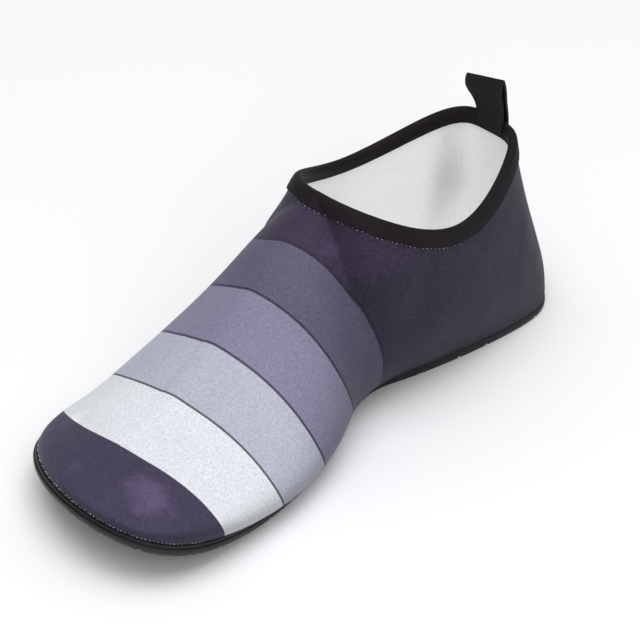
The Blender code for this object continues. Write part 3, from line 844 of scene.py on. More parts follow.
class Finish:
    """A material with its principled shader, to be filled in by each finish."""

    def __init__(self, name: str, roughness: float, **constants: float) -> None:
        """Start the material.

        Args:
            name: The material's name.
            roughness: The shader's roughness.
            **constants: Other values of the shader, with underscores for spaces.
        """
        self.material = bpy.data.materials.new(name)
        self.material.use_nodes = True
        self.graph = Graph(self.material.node_tree)
        self.shader = self.material.node_tree.nodes["Principled BSDF"]
        self.shader.inputs["Roughness"].default_value = roughness
        for label, value in constants.items():
            self.shader.inputs[label.replace("_", " ")].default_value = value
        coordinates = self.graph.node("ShaderNodeTexCoord")
        self.position = coordinates.outputs["Object"]

    def mottle(self, groups: ShaderGroups, mottle: Mottle) -> dict[str, Socket]:
        """The uneven tone, and its clouds alone."""
        return self.graph.place(groups.mottle, Position=self.position, Cloud=mottle.cloud,
                                Cloud_Depth=mottle.cloud_depth, Speck=mottle.speck,
                                Speck_Depth=mottle.speck_depth)

    def patch(self, groups: ShaderGroups, patch: PaintedLightPatch, **values: float) -> Socket:
        """The mask of a soft patch of painted light."""
        return self.graph.place(groups.painted_light_patch, Position=self.position, Middle=patch.middle,
                                Reach=patch.reach, Depth=patch.depth, **values)["Mask"]

    def toned(self, colour: object, tone: Socket) -> Socket:
        """A colour multiplied by a tone."""
        return self.graph.mix(1.0, colour, tone, "MULTIPLY")

    def dusted(self, groups: ShaderGroups, under: Socket, lint: Lint) -> Socket:
        """A colour with specks of lint over it."""
        mask = self.graph.place(groups.lint, Position=self.position, Spacing=lint.spacing,
                                Size=lint.size)["Mask"]
        return self.graph.mix(self.graph.math("MULTIPLY", mask, lint.depth), under, rgba(lint.colour))

    def knitted(self, groups: ShaderGroups, wale: float, relief: float) -> None:
        """Raise knitted loops all over the surface."""
        knit = self.graph.place(groups.knit, Position=self.position, Normal=self.normal(), Wale=wale)
        self.bump(knit["Height"], relief)

    def cloth(self) -> Socket:
        """The cloth's own measure, from its UV."""
        return self.graph.node("ShaderNodeUVMap", uv_map=CLOTH_UV).outputs["UV"]

    def normal(self) -> Socket:
        """The surface's own normal."""
        return self.graph.node("ShaderNodeNewGeometry").outputs["Normal"]

    def bump(self, height: Socket, depth: float) -> None:
        """Raise the surface by a height map of a depth in metres."""
        made = self.graph.node("ShaderNodeBump")
        made.inputs["Distance"].default_value = depth
        made.inputs["Strength"].default_value = 1.0
        self.graph.feed(made.inputs["Height"], height)
        self.graph.feed(self.shader.inputs["Normal"], made.outputs["Normal"])

    def colour(self, value: object) -> None:
        """Give the shader its colour."""
        self.graph.feed(self.shader.inputs["Base Color"], value)


@dataclass(frozen=True)
class PrintedBand:
    """One printed band of the upper, and the edge behind it.

    The edge lies at place along the shoe, plus out, up, bow and twist times the distance to the side,
    the height, and the square and the cube of the distance to the side, in metres.
    """

    colour: Colour
    place: float
    out: float
    up: float
    bow: float
    twist: float
    line: float


@dataclass(frozen=True)
class PrintedKnit:
    """The upper's stretch knit, printed in bands from the toe back, with thin dark lines between them,
    painted shade on its side walls and painted highlights on the toe cap and under the collar.
    """

    heel: Colour = (0.041, 0.031, 0.060)
    line: Colour = (0.022, 0.017, 0.036)
    bands: tuple[PrintedBand, ...] = (
        PrintedBand((0.108, 0.094, 0.155), 0.0883, -0.26, 0.23, -11.4, 238.0, 0.0011),
        PrintedBand((0.222, 0.200, 0.300), 0.1015, -0.18, 0.37, -3.0, 128.0, 0.0011),
        PrintedBand((0.430, 0.435, 0.520), 0.1299, -0.12, 0.35, -1.9, 66.0, 0.0011),
        PrintedBand((0.690, 0.710, 0.750), 0.1580, -0.08, 0.34, -1.6, 43.0, 0.0010),
        PrintedBand((0.052, 0.042, 0.080), 0.1910, -0.055, 0.33, -3.4, 53.0, 0.0001),
    )
    # Painted shade: the share to which the knit's colour is darkened on walls that face sideways and catch
    # less light.
    painted_side_shade: float = 0.62
    # Painted highlights: soft paler patches on the toe cap and under the collar, where sheen catches the
    # light.
    painted_highlights: tuple[PaintedLightPatch, ...] = (
        PaintedLightPatch((0.2115, 0.037, 0.032), (0.012, 0.015, 0.012), 0.9),
        PaintedLightPatch((0.2210, 0.006, 0.029), (0.007, 0.009, 0.007), 0.35),
        PaintedLightPatch((0.2010, -0.024, 0.031), (0.009, 0.009, 0.008), 0.5),
        PaintedLightPatch((0.0930, 0.016, 0.080), (0.012, 0.010, 0.006), 0.45),
        PaintedLightPatch((0.0930, -0.018, 0.079), (0.012, 0.010, 0.006), 0.4),
    )
    mottle: Mottle = Mottle(45.0, 0.05, 1100.0, 0.26)
    # How much paler the colour is made inside the painted highlights.
    highlight_gain: float = 1.1
    line_depth: float = 0.85
    grain: float = 0.04
    gloss: float = 0.14
    wale: float = 0.00075
    relief: float = 0.00012

    def material(self, groups: ShaderGroups) -> bpy.types.Material:
        """Mix the material.

        Args:
            groups: The shared shader groups.

        Returns:
            The finished material.
        """
        finish = Finish("printed_knit", 0.62, Sheen_Weight=0.02, Sheen_Roughness=0.45, Coat_Roughness=0.42,
                        Coat_IOR=1.3, Specular_IOR_Level=0.15)
        graph = finish.graph
        colour: object = rgba(self.heel)
        lines: object = 0.0
        for band in self.bands:
            edge = graph.place(groups.print_edge, Position=finish.position, Place=band.place, Out=band.out,
                               Up=band.up, Bow=band.bow, Twist=band.twist, Line=band.line)
            colour = graph.mix(edge["Ahead"], colour, rgba(band.colour))
            lines = graph.math("MAXIMUM", edge["Line"], lines)
        colour = graph.mix(graph.math("MULTIPLY", lines, self.line_depth), colour, rgba(self.line))
        mottle = finish.mottle(groups, self.mottle)
        # Painted shade: the colour darkens as the surface turns from facing up to facing sideways, as walls
        # catch less light.
        facing = graph.parts(finish.normal())[2]
        tone = graph.math("MULTIPLY", mottle["Tone"], graph.ease(facing, 0.0, 0.75, self.painted_side_shade, 1.0))
        colour = finish.toned(colour, tone)
        # Painted highlight: the colour is made paler inside these patches.
        painted_highlight: object = 0.0
        for patch in self.painted_highlights:
            painted_highlight = graph.math("ADD", finish.patch(groups, patch), painted_highlight)
        colour = finish.toned(colour, graph.math("MULTIPLY_ADD", painted_highlight, self.highlight_gain, 1.0))
        grain = graph.math("MULTIPLY", graph.math("SUBTRACT", mottle["Tone"], 1.0), self.grain)
        finish.colour(graph.mix(1.0, colour, grain, "ADD"))
        gloss = graph.ease(mottle["Cloud"], 0.42, 0.66, 0.0, self.gloss)
        graph.feed(finish.shader.inputs["Coat Weight"], gloss)
        finish.knitted(groups, self.wale, self.relief)
        return finish.material


@dataclass(frozen=True)
class WhiteLining:
    """The upper's white lining, and the cloth on the sock liner, with a faint painted glow and a painted
    shadow inside the heel.
    """

    colour: Colour = (0.93, 0.93, 0.93)
    # Painted light: the lining and the sock liner glow faintly, though they are no lamp, to look brighter.
    painted_glow: float = 0.09
    # Painted shadow: a soft tall grey band darkens the lining inside the heel.
    shade: PaintedLightPatch = PaintedLightPatch((-0.0085, -0.0205, 0.052), (0.012, 0.013, 0.170), 0.38)
    shade_cloud: float = 0.25
    mottle: Mottle = Mottle(60.0, 0.02, 1100.0, 0.05)
    wale: float = 0.0009
    relief: float = 0.00015

    def material(self, groups: ShaderGroups) -> bpy.types.Material:
        """Mix the material.

        Args:
            groups: The shared shader groups.

        Returns:
            The finished material.
        """
        finish = Finish("white_lining", 0.85, Sheen_Weight=0.1, Sheen_Roughness=0.5,
                        Emission_Strength=self.painted_glow)
        graph = finish.graph
        mottle = finish.mottle(groups, self.mottle)
        # Painted shadow: the lining's colour is darkened inside the grey band.
        hollow = finish.patch(groups, self.shade, Cloud=self.shade_cloud)
        tone = graph.math("MULTIPLY", mottle["Tone"], graph.math("SUBTRACT", 1.0, hollow))
        finish.colour(finish.toned(rgba(self.colour), tone))
        finish.knitted(groups, self.wale, self.relief)
        return finish.material


@dataclass(frozen=True)
class WovenTape:
    """Black woven tape: the elastic binding and the webbing of the tab."""

    name: str
    colour: Colour
    rib: float
    warp: float
    slant: float
    relief: float
    roughness: float
    mottle: Mottle = Mottle(90.0, 0.15, 1500.0, 0.25)
    lint: Lint = Lint(0.0045, 0.00022, 0.12, (0.4, 0.4, 0.42))

    def material(self, groups: ShaderGroups) -> bpy.types.Material:
        """Mix the material.

        Args:
            groups: The shared shader groups.

        Returns:
            The finished material.
        """
        finish = Finish(self.name, self.roughness, Sheen_Weight=0.02, Sheen_Roughness=0.4,
                        Specular_IOR_Level=0.15)
        graph = finish.graph
        weave = graph.place(groups.weave, Cloth=finish.cloth(), Rib=self.rib, Warp=self.warp,
                            Slant=self.slant)["Height"]
        mottle = finish.mottle(groups, self.mottle)
        # Painted shade and painted highlight: the tape's colour is darker in the weave's low places and paler
        # on its ribs.
        painted_weave_shade = graph.ease(weave, 0.0, 0.8, 0.55, 1.15)
        tone = graph.math("MULTIPLY", mottle["Tone"], painted_weave_shade)
        finish.colour(finish.dusted(groups, finish.toned(rgba(self.colour), tone), self.lint))
        finish.bump(weave, self.relief)
        return finish.material


@dataclass(frozen=True)
class MouldedRubber:
    """The sole's black rubber, satin, with faint moulding grain and dust in it."""

    colour: Colour = (0.0125, 0.0115, 0.0135)
    grain: float = 0.00006
    mottle: Mottle = Mottle(70.0, 0.2, 2200.0, 0.3)
    lint: Lint = Lint(0.006, 0.0003, 0.1, (0.35, 0.34, 0.33))

    def material(self, groups: ShaderGroups) -> bpy.types.Material:
        """Mix the material.

        Args:
            groups: The shared shader groups.

        Returns:
            The finished material.
        """
        finish = Finish("moulded_rubber", 0.55, Specular_IOR_Level=0.3)
        mottle = finish.mottle(groups, self.mottle)
        finish.colour(finish.dusted(groups, finish.toned(rgba(self.colour), mottle["Tone"]), self.lint))
        roughness = finish.graph.ease(mottle["Cloud"], 0.3, 0.7, 0.42, 0.56)
        finish.graph.feed(finish.shader.inputs["Roughness"], roughness)
        finish.bump(mottle["Tone"], self.grain)
        return finish.material


@dataclass(frozen=True)
class SewingThread:
    """Twisted sewing thread."""

    thread: Thread
    colour: Colour
    mottle: Mottle = Mottle(200.0, 0.1, 3000.0, 0.2)
    twist: float = 0.00004

    def material(self, groups: ShaderGroups) -> bpy.types.Material:
        """Mix the material.

        Args:
            groups: The shared shader groups.

        Returns:
            The finished material.
        """
        finish = Finish(f"{self.thread.value}_thread", 0.6, Sheen_Weight=0.15)
        mottle = finish.mottle(groups, self.mottle)
        finish.colour(finish.toned(rgba(self.colour), mottle["Tone"]))
        finish.bump(mottle["Tone"], self.twist)
        return finish.material


def new_object(name: str, data: bpy.types.ID) -> bpy.types.Object:
    """An object in the scene."""
    made = bpy.data.objects.new(name, data)
    bpy.context.scene.collection.objects.link(made)
    return made


def aim(made: bpy.types.Object, place: Triple, target: Triple) -> None:
    """Stand a light or a camera at a place and turn it towards another."""
    made.location = place
    made.rotation_mode = "QUATERNION"
    made.rotation_quaternion = (Vector(target) - made.location).to_track_quat("-Z", "Y")


def framed(name: str, bm: bmesh.types.BMesh, sizes: Sizes) -> bpy.types.Object:
    """A mesh, measured from the back of the heel, as an object in the shoe's own frame."""
    bmesh.ops.translate(bm, verts=bm.verts, vec=(-sizes.heel_pad_x, 0.0, 0.0))
    mesh = bpy.data.meshes.new(name)
    bm.to_mesh(mesh)
    bm.free()
    return new_object(name, mesh)


@dataclass
class ShoePiece:
    """One piece of the shoe: its mesh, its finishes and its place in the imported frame."""

    last: Last
    materials: Sequence[bpy.types.Material]

    name = "piece"
    slot = ""
    replaced = ()
    sharp_angle = 40.0

    def shape(self) -> bmesh.types.BMesh:
        """The piece's mesh, measured from the back of the heel."""
        raise NotImplementedError

    def refine(self, piece: bpy.types.Object) -> None:
        """Add the piece's modifiers. Most pieces have none."""

    def make(self) -> bpy.types.Object:
        """Make the piece and set it in the frame.

        Returns:
            The finished object.
        """
        piece = framed(self.name, self.shape(), self.last.sizes)
        for material in self.materials:
            piece.data.materials.append(material)
        self.refine(piece)
        piece.data.shade_smooth()
        piece.data.set_sharp_from_angle(angle=math.radians(self.sharp_angle))
        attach(piece, BODY)
        if self.replaced:
            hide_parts(*self.replaced)
        LOG.info("%s: %d faces", self.name, len(piece.data.polygons))
        return piece


@dataclass
class Upper(ShoePiece):
    """The printed knit sleeve with its folds, and the white lining inside it."""

    name = "printed_upper"
    slot = "knit"
    replaced = ("upper",)
    sharp_angle = 60.0

    side_columns: int = 180
    rows: int = 90
    ripple: float = 0.00018
    ripple_scale: float = 45.0
    crowd_reach: float = 0.014
    crowd_passes: int = 12
    soft_passes: int = 40
    soft_gap: float = 0.006
    soft_reach: float = 0.010
    soft_foot_rows: int = 8
    soft_hem_rows: int = 12
    fold_steps: int = 30
    fold_end: float = 0.3
    foot_share: float = 0.06
    hem_share: float = 0.10
    folds: tuple[Fold, ...] = FOLDS

    def _lift(self, points: np.ndarray, normals: np.ndarray) -> np.ndarray:
        """How far the folds raise each point of the wall.

        Args:
            points: Points by rib, row and axis.
            normals: Their outward normals.

        Returns:
            A height for each point.
        """
        sizes = self.last.sizes
        lift = np.zeros(points.shape[:2])
        for fold in self.folds:
            path = np.array(fold.path)
            knots = np.linspace(0.0, 1.0, len(path))
            shares = np.linspace(0.0, 1.0, self.fold_steps)
            across = sizes.ball_width if fold.side is Side.TOP else sizes.instep_height
            line = np.stack([Curve(knots, path[:, 0] * sizes.length, "free")(shares),
                             Curve(knots, path[:, 1] * across, "free")(shares)], -1)
            axis = 1 if fold.side is Side.TOP else 2
            flat = points[..., (0, axis)].reshape(-1, 2)
            away = np.linalg.norm(flat[:, None] - line[None], axis=-1)
            nearest = away.argmin(axis=1)
            ends = smooth_step(shares[nearest] / self.fold_end)
            ends = ends * smooth_step((1 - shares[nearest]) / self.fold_end)
            facing = {Side.TOP: normals[..., 2], Side.MEDIAL: normals[..., 1], Side.LATERAL: -normals[..., 1]}
            rise = fold.height * np.exp(-(away.min(axis=1) / fold.width) ** 2) * ends
            lift += rise.reshape(lift.shape) * smooth_step(2 * facing[fold.side])
        return lift

    def shape(self) -> bmesh.types.BMesh:
        """The outer face with its folds, one column of faces for each rib."""
        turns = self.last.turns(self.side_columns)
        rises = np.linspace(0.0, 1.0, self.rows + 1)
        count = len(turns)
        mirrored = (count - np.arange(count)) % count
        share = np.where(turns <= 1.0, turns, 2.0 - turns)
        ridge = share >= self.last.sizes.throat_share - 1e-9
        points = self._soften(self.last.wall(turns, rises), ridge, mirrored)
        run = np.roll(points, -1, axis=0) - np.roll(points, 1, axis=0)
        normals = np.cross(np.gradient(points, axis=1), run)
        normals /= np.linalg.norm(normals, axis=-1, keepdims=True) + 1e-12
        joined = normals[:, -1] + normals[mirrored, -1]
        joined /= np.linalg.norm(joined, axis=-1, keepdims=True) + 1e-12
        normals[ridge, -1] = joined[ridge]
        ripples = np.array([[noise.noise(Vector(point) * self.ripple_scale) for point in rib]
                            for rib in points])
        lift = self._lift(points, normals) + self.ripple * ripples
        lift *= smooth_step(rises / self.foot_share)[None, :]
        hem = np.where(ridge[:, None], 1.0, smooth_step((1 - rises) / self.hem_share)[None, :])
        points = points + normals * (lift * hem)[..., None]
        bm = bmesh.new()
        self._fill(bm, points)
        crowd = Vector(points[self.side_columns, -1])
        near = [vertex for vertex in bm.verts if (vertex.co - crowd).length < self.crowd_reach]
        for _ in range(self.crowd_passes):
            bmesh.ops.smooth_vert(bm, verts=near, factor=0.5, use_axis_x=True, use_axis_y=True,
                                  use_axis_z=True)
        return bm

    def _soften(self, points: np.ndarray, ridge: np.ndarray, mirrored: np.ndarray) -> np.ndarray:
        """Round off the creases between the ribs, as stretched cloth does.

        Args:
            points: Points by rib, row and axis.
            ridge: Whether each rib ends on the ridge.
            mirrored: The rib that meets each one there.

        Returns:
            The softened points, with the foot and the collar's edge as they were.
        """
        rows = np.arange(self.rows + 1)
        foot = smooth_step((rows - 2) / self.soft_foot_rows)[None, :]
        hem = smooth_step((self.rows - 3 - rows) / self.soft_hem_rows)[None, :]
        free = foot * np.where(ridge[:, None], 1.0, hem)
        throat = points[ridge, -1][0]
        away = np.linalg.norm(points - throat, axis=-1)
        free = free * smooth_step((away - self.soft_gap) / self.soft_reach)
        for _ in range(self.soft_passes):
            mean = points.copy()
            beside = np.roll(points, 1, axis=0) + np.roll(points, -1, axis=0)
            mean[:, 1:-1] = (points[:, :-2] + points[:, 2:] + beside[:, 1:-1]) / 4
            over = (points[:, -2] + points[mirrored, -2] + beside[:, -1]) / 4
            mean[ridge, -1] = over[ridge]
            points = points + 0.5 * (mean - points) * free[..., None]
        return points

    def _fill(self, bm: bmesh.types.BMesh, points: np.ndarray) -> None:
        """Lay the sleeve's quads, with the ridge's vertices shared by both sides.

        Args:
            bm: The mesh to fill.
            points: Points by rib, row and axis.
        """
        count, rows = len(points), self.rows
        half = self.side_columns
        grid: list[list[bmesh.types.BMVert]] = []
        for i in range(count):
            shared = i > half and count - i >= half // 2
            rib = [bm.verts.new(point) for point in points[i, :rows]]
            rib.append(grid[count - i][rows] if shared else bm.verts.new(points[i, rows]))
            grid.append(rib)
        for i in range(count):
            here, ahead = grid[i], grid[(i + 1) % count]
            for k in range(rows):
                bm.faces.new((here[k], here[k + 1], ahead[k + 1], ahead[k]))

    def refine(self, piece: bpy.types.Object) -> None:
        """Grow the wall inward, lined in white."""
        wall = piece.modifiers.new("wall", "SOLIDIFY")
        wall.thickness = self.last.sizes.wall
        wall.offset = -1.0
        wall.use_even_offset = False
        wall.material_offset = 1
        wall.material_offset_rim = 1


@dataclass
class CollarBinding(ShoePiece):
    """The black elastic tape folded over the collar's edge."""

    surface: WallSurface

    name = "binding_tape"
    slot = "elastic"
    replaced = ("collar_binding",)
    sharp_angle = 70.0

    stations: int = 620
    depth: float = 0.0054
    inner_depth: float = 0.0046
    near: float = 0.0002
    thickness: float = 0.0008
    hem_wave: float = 0.00014
    pucker: float = 0.00010
    puckers: int = 160
    edge_round: float = 0.25
    line_steps: int = 4001
    leg_steps: int = 9
    fold_steps: int = 14
    inner_passes: int = 60

    def edge_points(self, count: int) -> np.ndarray:
        """Even stations around the collar's edge."""
        throat = self.last.sizes.throat_share
        line = self.last.top(np.linspace(-throat, throat, self.line_steps))
        return points_at(line, np.linspace(0.0, lengths_along(line)[-1], count, endpoint=False))

    def hem_depth(self, share: float) -> float:
        """How deep the tape reaches at a share of the way round: a slightly wavy hem."""
        turn = 2 * math.pi * share
        wave = math.sin(17 * turn) + 0.7 * math.sin(29 * turn + 1.3) + 0.5 * math.sin(53 * turn + 0.4)
        return self.depth + self.hem_wave * wave

    def shape(self) -> bmesh.types.BMesh:
        """The tape: down outside, over the edge and down inside, with its thickness."""
        edge = CollarEdge(self.edge_points(self.stations), self.surface, True)
        wall, far = self.last.sizes.wall, self.near + self.thickness
        shares = [1 - step / self.leg_steps for step in range(self.leg_steps)]
        legs = [edge.below([self.hem_depth(i / self.stations) * share for i in range(self.stations)])
                for share in shares]
        inner_legs = [edge.below([self.inner_depth * share] * self.stations) for share in shares]
        angles = np.linspace(0, math.pi, self.fold_steps)
        points = []
        for i, (point, outward, downward) in enumerate(zip(edge.points, edge.outward, edge.downward)):
            middle = point - outward * (wall / 2)
            arcs = [outward * math.cos(angle) - downward * math.sin(angle) for angle in angles]
            leg, inner_leg = [row[i] for row in legs], [row[i] for row in inner_legs]
            swell = self.pucker * math.sin(2 * math.pi * i * self.puckers / self.stations)
            plump = [swell * (1 - k / self.leg_steps) for k in range(self.leg_steps)]
            hem, body = leg[0], list(zip(leg, plump))[1:]
            inner_hem, inner_body = inner_leg[0], list(zip(inner_leg, plump))[1:]
            round_off = self.thickness * self.edge_round
            lift = Vector((0.0, 0.0, round_off))
            outer = [hem[0] + hem[1] * (far - round_off) - lift * 0.2]
            outer += [hem[0] + hem[1] * far + lift]
            outer += [place + normal * (far + puff) for (place, normal), puff in body]
            outer += [middle + arc * (wall / 2 + far) for arc in arcs]
            outer += [place - normal * (wall + far + puff) for (place, normal), puff in reversed(inner_body)]
            outer += [inner_hem[0] - inner_hem[1] * (wall + far) + lift]
            outer += [inner_hem[0] - inner_hem[1] * (wall + far - round_off) - lift * 0.2]
            inner = [hem[0] + hem[1] * self.near]
            inner += [place + normal * self.near for place, normal in leg[1:]]
            inner += [middle + arc * (wall / 2 + self.near) for arc in arcs]
            inner += [place - normal * (wall + self.near) for place, normal in reversed(inner_leg)]
            points.append(outer + inner[::-1])
        ring = np.array([[tuple(corner) for corner in line] for line in points])
        first = self.leg_steps + 1 + self.fold_steps
        inside = slice(first, first + 2 * self.leg_steps + 1)
        for _ in range(self.inner_passes):
            ahead, behind = np.roll(ring[:, inside], 1, axis=0), np.roll(ring[:, inside], -1, axis=0)
            ring[:, inside] = (ahead + 2 * ring[:, inside] + behind) / 4
        return grid_mesh(ring, (True, True))


@dataclass
class PullTab(ShoePiece):
    """The black webbing loop over the binding at the heel."""

    surface: WallSurface

    name = "webbing_tab"
    slot = "webbing"
    replaced = ("pull_tab",)
    sharp_angle = 50.0

    width: float = 0.0205
    thickness: float = 0.0011
    height: float = 0.0212
    lean: float = 0.004
    skew: float = 0.005
    fold: float = 0.0016
    taper: float = 0.0045
    outer_taper: float = 0.0035
    outer_depth: float = 0.006
    inner_depth: float = 0.0030
    tape_far: float = 0.0012
    foot_corner: float = 0.75
    selvedge: float = 0.3
    line_steps: int = 401
    columns: int = 20
    rows: int = 130

    def edge(self, offsets: np.ndarray) -> CollarEdge:
        """Stations of the collar's edge at offsets to the side of the heel."""
        throat = self.last.sizes.throat_share
        turns = np.linspace(-throat / 2, throat / 2, self.line_steps)
        reach = lengths_along(self.last.top(turns))
        found = np.interp(offsets, reach - reach[len(turns) // 2], turns)
        return CollarEdge(self.last.top(found), self.surface, False)

    def shape(self) -> bmesh.types.BMesh:
        """Two strands that meet in a fold above the heel. The inner one narrows to a rounded foot."""
        shares = np.linspace(-0.5, 0.5, self.columns + 1)
        edge = self.edge(shares * self.width - (0.5 + shares) * self.outer_taper)
        inner_edge = self.edge(shares * self.width + (0.5 - shares) * self.taper)
        wall = self.last.sizes.wall
        seat = self.tape_far + self.thickness / 2
        tip = edge.points[self.columns // 2] + Vector((self.lean, 0.0, self.height))
        fold = Vector((self.fold / 2, 0.0, 0.0))
        drop = Vector((0.0, 0.0, self.fold))
        lines = []
        for i, share in enumerate(shares):
            point, inner_point = edge.points[i], inner_edge.points[i]
            rounded = self.inner_depth * (1 - self.foot_corner * abs(2 * share) ** 2.5)
            outer = [self.surface.nearest(point + edge.downward[i] * depth)
                     for depth in (self.outer_depth, self.outer_depth / 2)]
            inner = [self.surface.nearest(inner_point + inner_edge.downward[i] * depth)
                     for depth in (rounded / 2, rounded)]
            outer_rim = point + (edge.outward[i] - edge.downward[i]) * seat
            inner_rim = inner_point - inner_edge.downward[i] * seat
            inner_rim -= inner_edge.outward[i] * (wall + seat)
            crown = tip + Vector((0.0, self.width, self.skew)) * float(share)
            route = [place + normal * seat for place, normal in outer]
            route += [outer_rim, outer_rim.lerp(crown - fold, 0.5), crown - fold - drop, crown]
            route += [crown + fold - drop, inner_rim.lerp(crown + fold, 0.5), inner_rim]
            route += [place - normal * (wall + seat) for place, normal in inner]
            knots = lengths_along(route)
            axes = [Curve(knots, [spot[axis] for spot in route], "free") for axis in range(3)]
            stops = np.linspace(0.0, knots[-1], self.rows + 1)
            lines.append(np.stack([axis(stops) for axis in axes], -1))
        return grid_mesh(np.array(lines), (False, False))

    def refine(self, piece: bpy.types.Object) -> None:
        """Give the webbing its thickness and its rounded selvedges."""
        body = piece.modifiers.new("webbing", "SOLIDIFY")
        body.thickness = self.thickness
        body.offset = 0.0
        body.use_even_offset = False
        selvedge = piece.modifiers.new("selvedge", "BEVEL")
        selvedge.width = self.thickness * self.selvedge
        selvedge.segments = 2
        selvedge.limit_method = "ANGLE"
        selvedge.angle_limit = math.radians(self.sharp_angle)


def add_stitch(bm: bmesh.types.BMesh, middle: Vector, along: Vector, up: Vector, size: Vector) -> None:
    """One short bulging stitch.

    Args:
        bm: The mesh that takes it.
        middle: Its place.
        along: The direction that it runs.
        up: The direction out of the cloth.
        size: Its length, width and height.
    """
    side = up.cross(along).normalized()
    along = side.cross(up).normalized()
    turn = Matrix((along, side, up)).transposed().to_4x4()
    place = Matrix.Translation(middle) @ turn @ Matrix.Diagonal((*size, 1.0))
    bmesh.ops.create_uvsphere(bm, u_segments=8, v_segments=5, radius=0.5, matrix=place)


@dataclass
class BindingStitches(ShoePiece):
    """The pale stitches that show just below the binding's hem."""

    surface: WallSurface
    binding: CollarBinding

    name = "binding_stitches"
    slot = "elastic"

    pitch: float = 0.0021
    size: Triple = (0.0008, 0.0003, 0.00025)
    gap: float = 0.0004
    proud: float = 0.0001
    slant: float = 0.35
    shrink: float = 0.25

    def shape(self) -> bmesh.types.BMesh:
        """One stitch for each pitch around the collar, on the outer face."""
        round_length = lengths_along(self.binding.edge_points(self.binding.stations))[-1]
        count = int(round_length / self.pitch)
        edge = CollarEdge(self.binding.edge_points(count), self.surface, True)
        depths = [self.binding.hem_depth(i / count) + self.gap for i in range(count)]
        bm = bmesh.new()
        for i, (place, normal) in enumerate(edge.below(depths)):
            ahead = edge.points[(i + 1) % count] - edge.points[i - 1]
            slant = Matrix.Rotation(self.slant * math.sin(i * 2.4), 3, normal) @ ahead
            grow = 1 - self.shrink + self.shrink * math.sin(i * 1.7 + 0.5 * math.sin(i * 0.37))
            add_stitch(bm, place + normal * self.proud, slant, normal, Vector(self.size) * grow)
        return bm


@dataclass
class ToeOverlock(ShoePiece):
    """The fine overlock stitches around the toe, where the knit meets the sole."""

    surface: WallSurface

    name = "toe_overlock"
    slot = "knit"

    pitch: float = 0.0016
    size: Triple = (0.0011, 0.0005, 0.0005)
    start: float = 0.62
    height: float = 0.0014
    height_spread: float = 0.35
    slant: float = 0.9
    slant_spread: float = 0.2
    shrink: float = 0.2
    line_steps: int = 2001

    def shape(self) -> bmesh.types.BMesh:
        """One stitch for each pitch around the toe, just above the sole."""
        turns = np.linspace(self.start, 2.0 - self.start, self.line_steps)
        foot = self.last.wall(turns, np.array([0.0]))[:, 0]
        spots = points_at(foot, np.arange(0.0, lengths_along(foot)[-1], self.pitch))
        bm = bmesh.new()
        for i in range(1, len(spots) - 1):
            rise = self.height * (1 + self.height_spread * math.sin(i * 2.1))
            place, normal = self.surface.nearest(Vector(spots[i]) + Vector((0.0, 0.0, rise)))
            along = Vector(spots[i + 1] - spots[i - 1])
            turned = self.slant + self.slant_spread * math.sin(i * 1.3)
            slant = Matrix.Rotation(turned, 3, normal) @ along
            grow = 1 - self.shrink + self.shrink * math.sin(i * 0.9)
            add_stitch(bm, place, slant, normal, Vector(self.size) * grow)
        return bm


@dataclass
class TabStitches(ShoePiece):
    """The black stitches that hold the tab to the binding, outside."""

    tab: PullTab

    name = "tab_stitches"
    slot = "webbing"

    pitch: float = 0.0022
    size: Triple = (0.0017, 0.0005, 0.0004)
    margin: float = 0.0015
    depths: tuple[float, ...] = (0.0016, 0.0048)

    def shape(self) -> bmesh.types.BMesh:
        """Two rows of stitches across the tab's foot."""
        half = self.tab.width / 2 - self.margin
        offsets = np.arange(-half, half, self.pitch)
        edge = self.tab.edge(offsets)
        proud = self.tab.tape_far + self.tab.thickness
        bm = bmesh.new()
        for depth in self.depths:
            row = edge.below([depth] * len(offsets))
            for i, (place, normal) in enumerate(row):
                back, ahead = beside(i, len(row), False)
                along = row[ahead][0] - row[back][0]
                add_stitch(bm, place + normal * proud, along, normal, Vector(self.size))
        return bm


@dataclass
class Plate(ShoePiece):
    """A closed plate between rings around the outline, with its faces laid in strips."""

    side_columns: int = 150
    strips: int = 12

    def loft(self, rings: Sequence[np.ndarray], bottom: Curves, top: Curves) -> bmesh.types.BMesh:
        """Close a plate between rings.

        Args:
            rings: Points of each ring, from the bottom up.
            bottom: Height of the underside as a function of x.
            top: Height of the upper face as a function of x.

        Returns:
            The closed mesh.
        """
        bm = bmesh.new()
        loops = [[bm.verts.new(point) for point in ring] for ring in rings]
        count = len(loops[0])
        for low, high in zip(loops, loops[1:]):
            for i in range(count):
                j = (i + 1) % count
                bm.faces.new((low[i], high[i], high[j], low[j]))
        for loop, height in ((loops[0], bottom), (loops[-1], top)):
            rows = [[loop[0]]]
            for i in range(1, count // 2):
                left, right = loop[i], loop[count - i]
                inner = []
                for k in range(1, self.strips):
                    point = left.co.lerp(right.co, k / self.strips)
                    point.z = float(height(point.x))
                    inner.append(bm.verts.new(point))
                rows.append([left, *inner, right])
            rows.append([loop[count // 2]])
            for here, ahead in zip(rows, rows[1:]):
                for k in range(self.strips):
                    corners = [here[min(k, len(here) - 1)], here[min(k + 1, len(here) - 1)],
                               ahead[min(k + 1, len(ahead) - 1)], ahead[min(k, len(ahead) - 1)]]
                    bm.faces.new(list(dict.fromkeys(corners)))
        bmesh.ops.recalc_face_normals(bm, faces=bm.faces)
        return bm


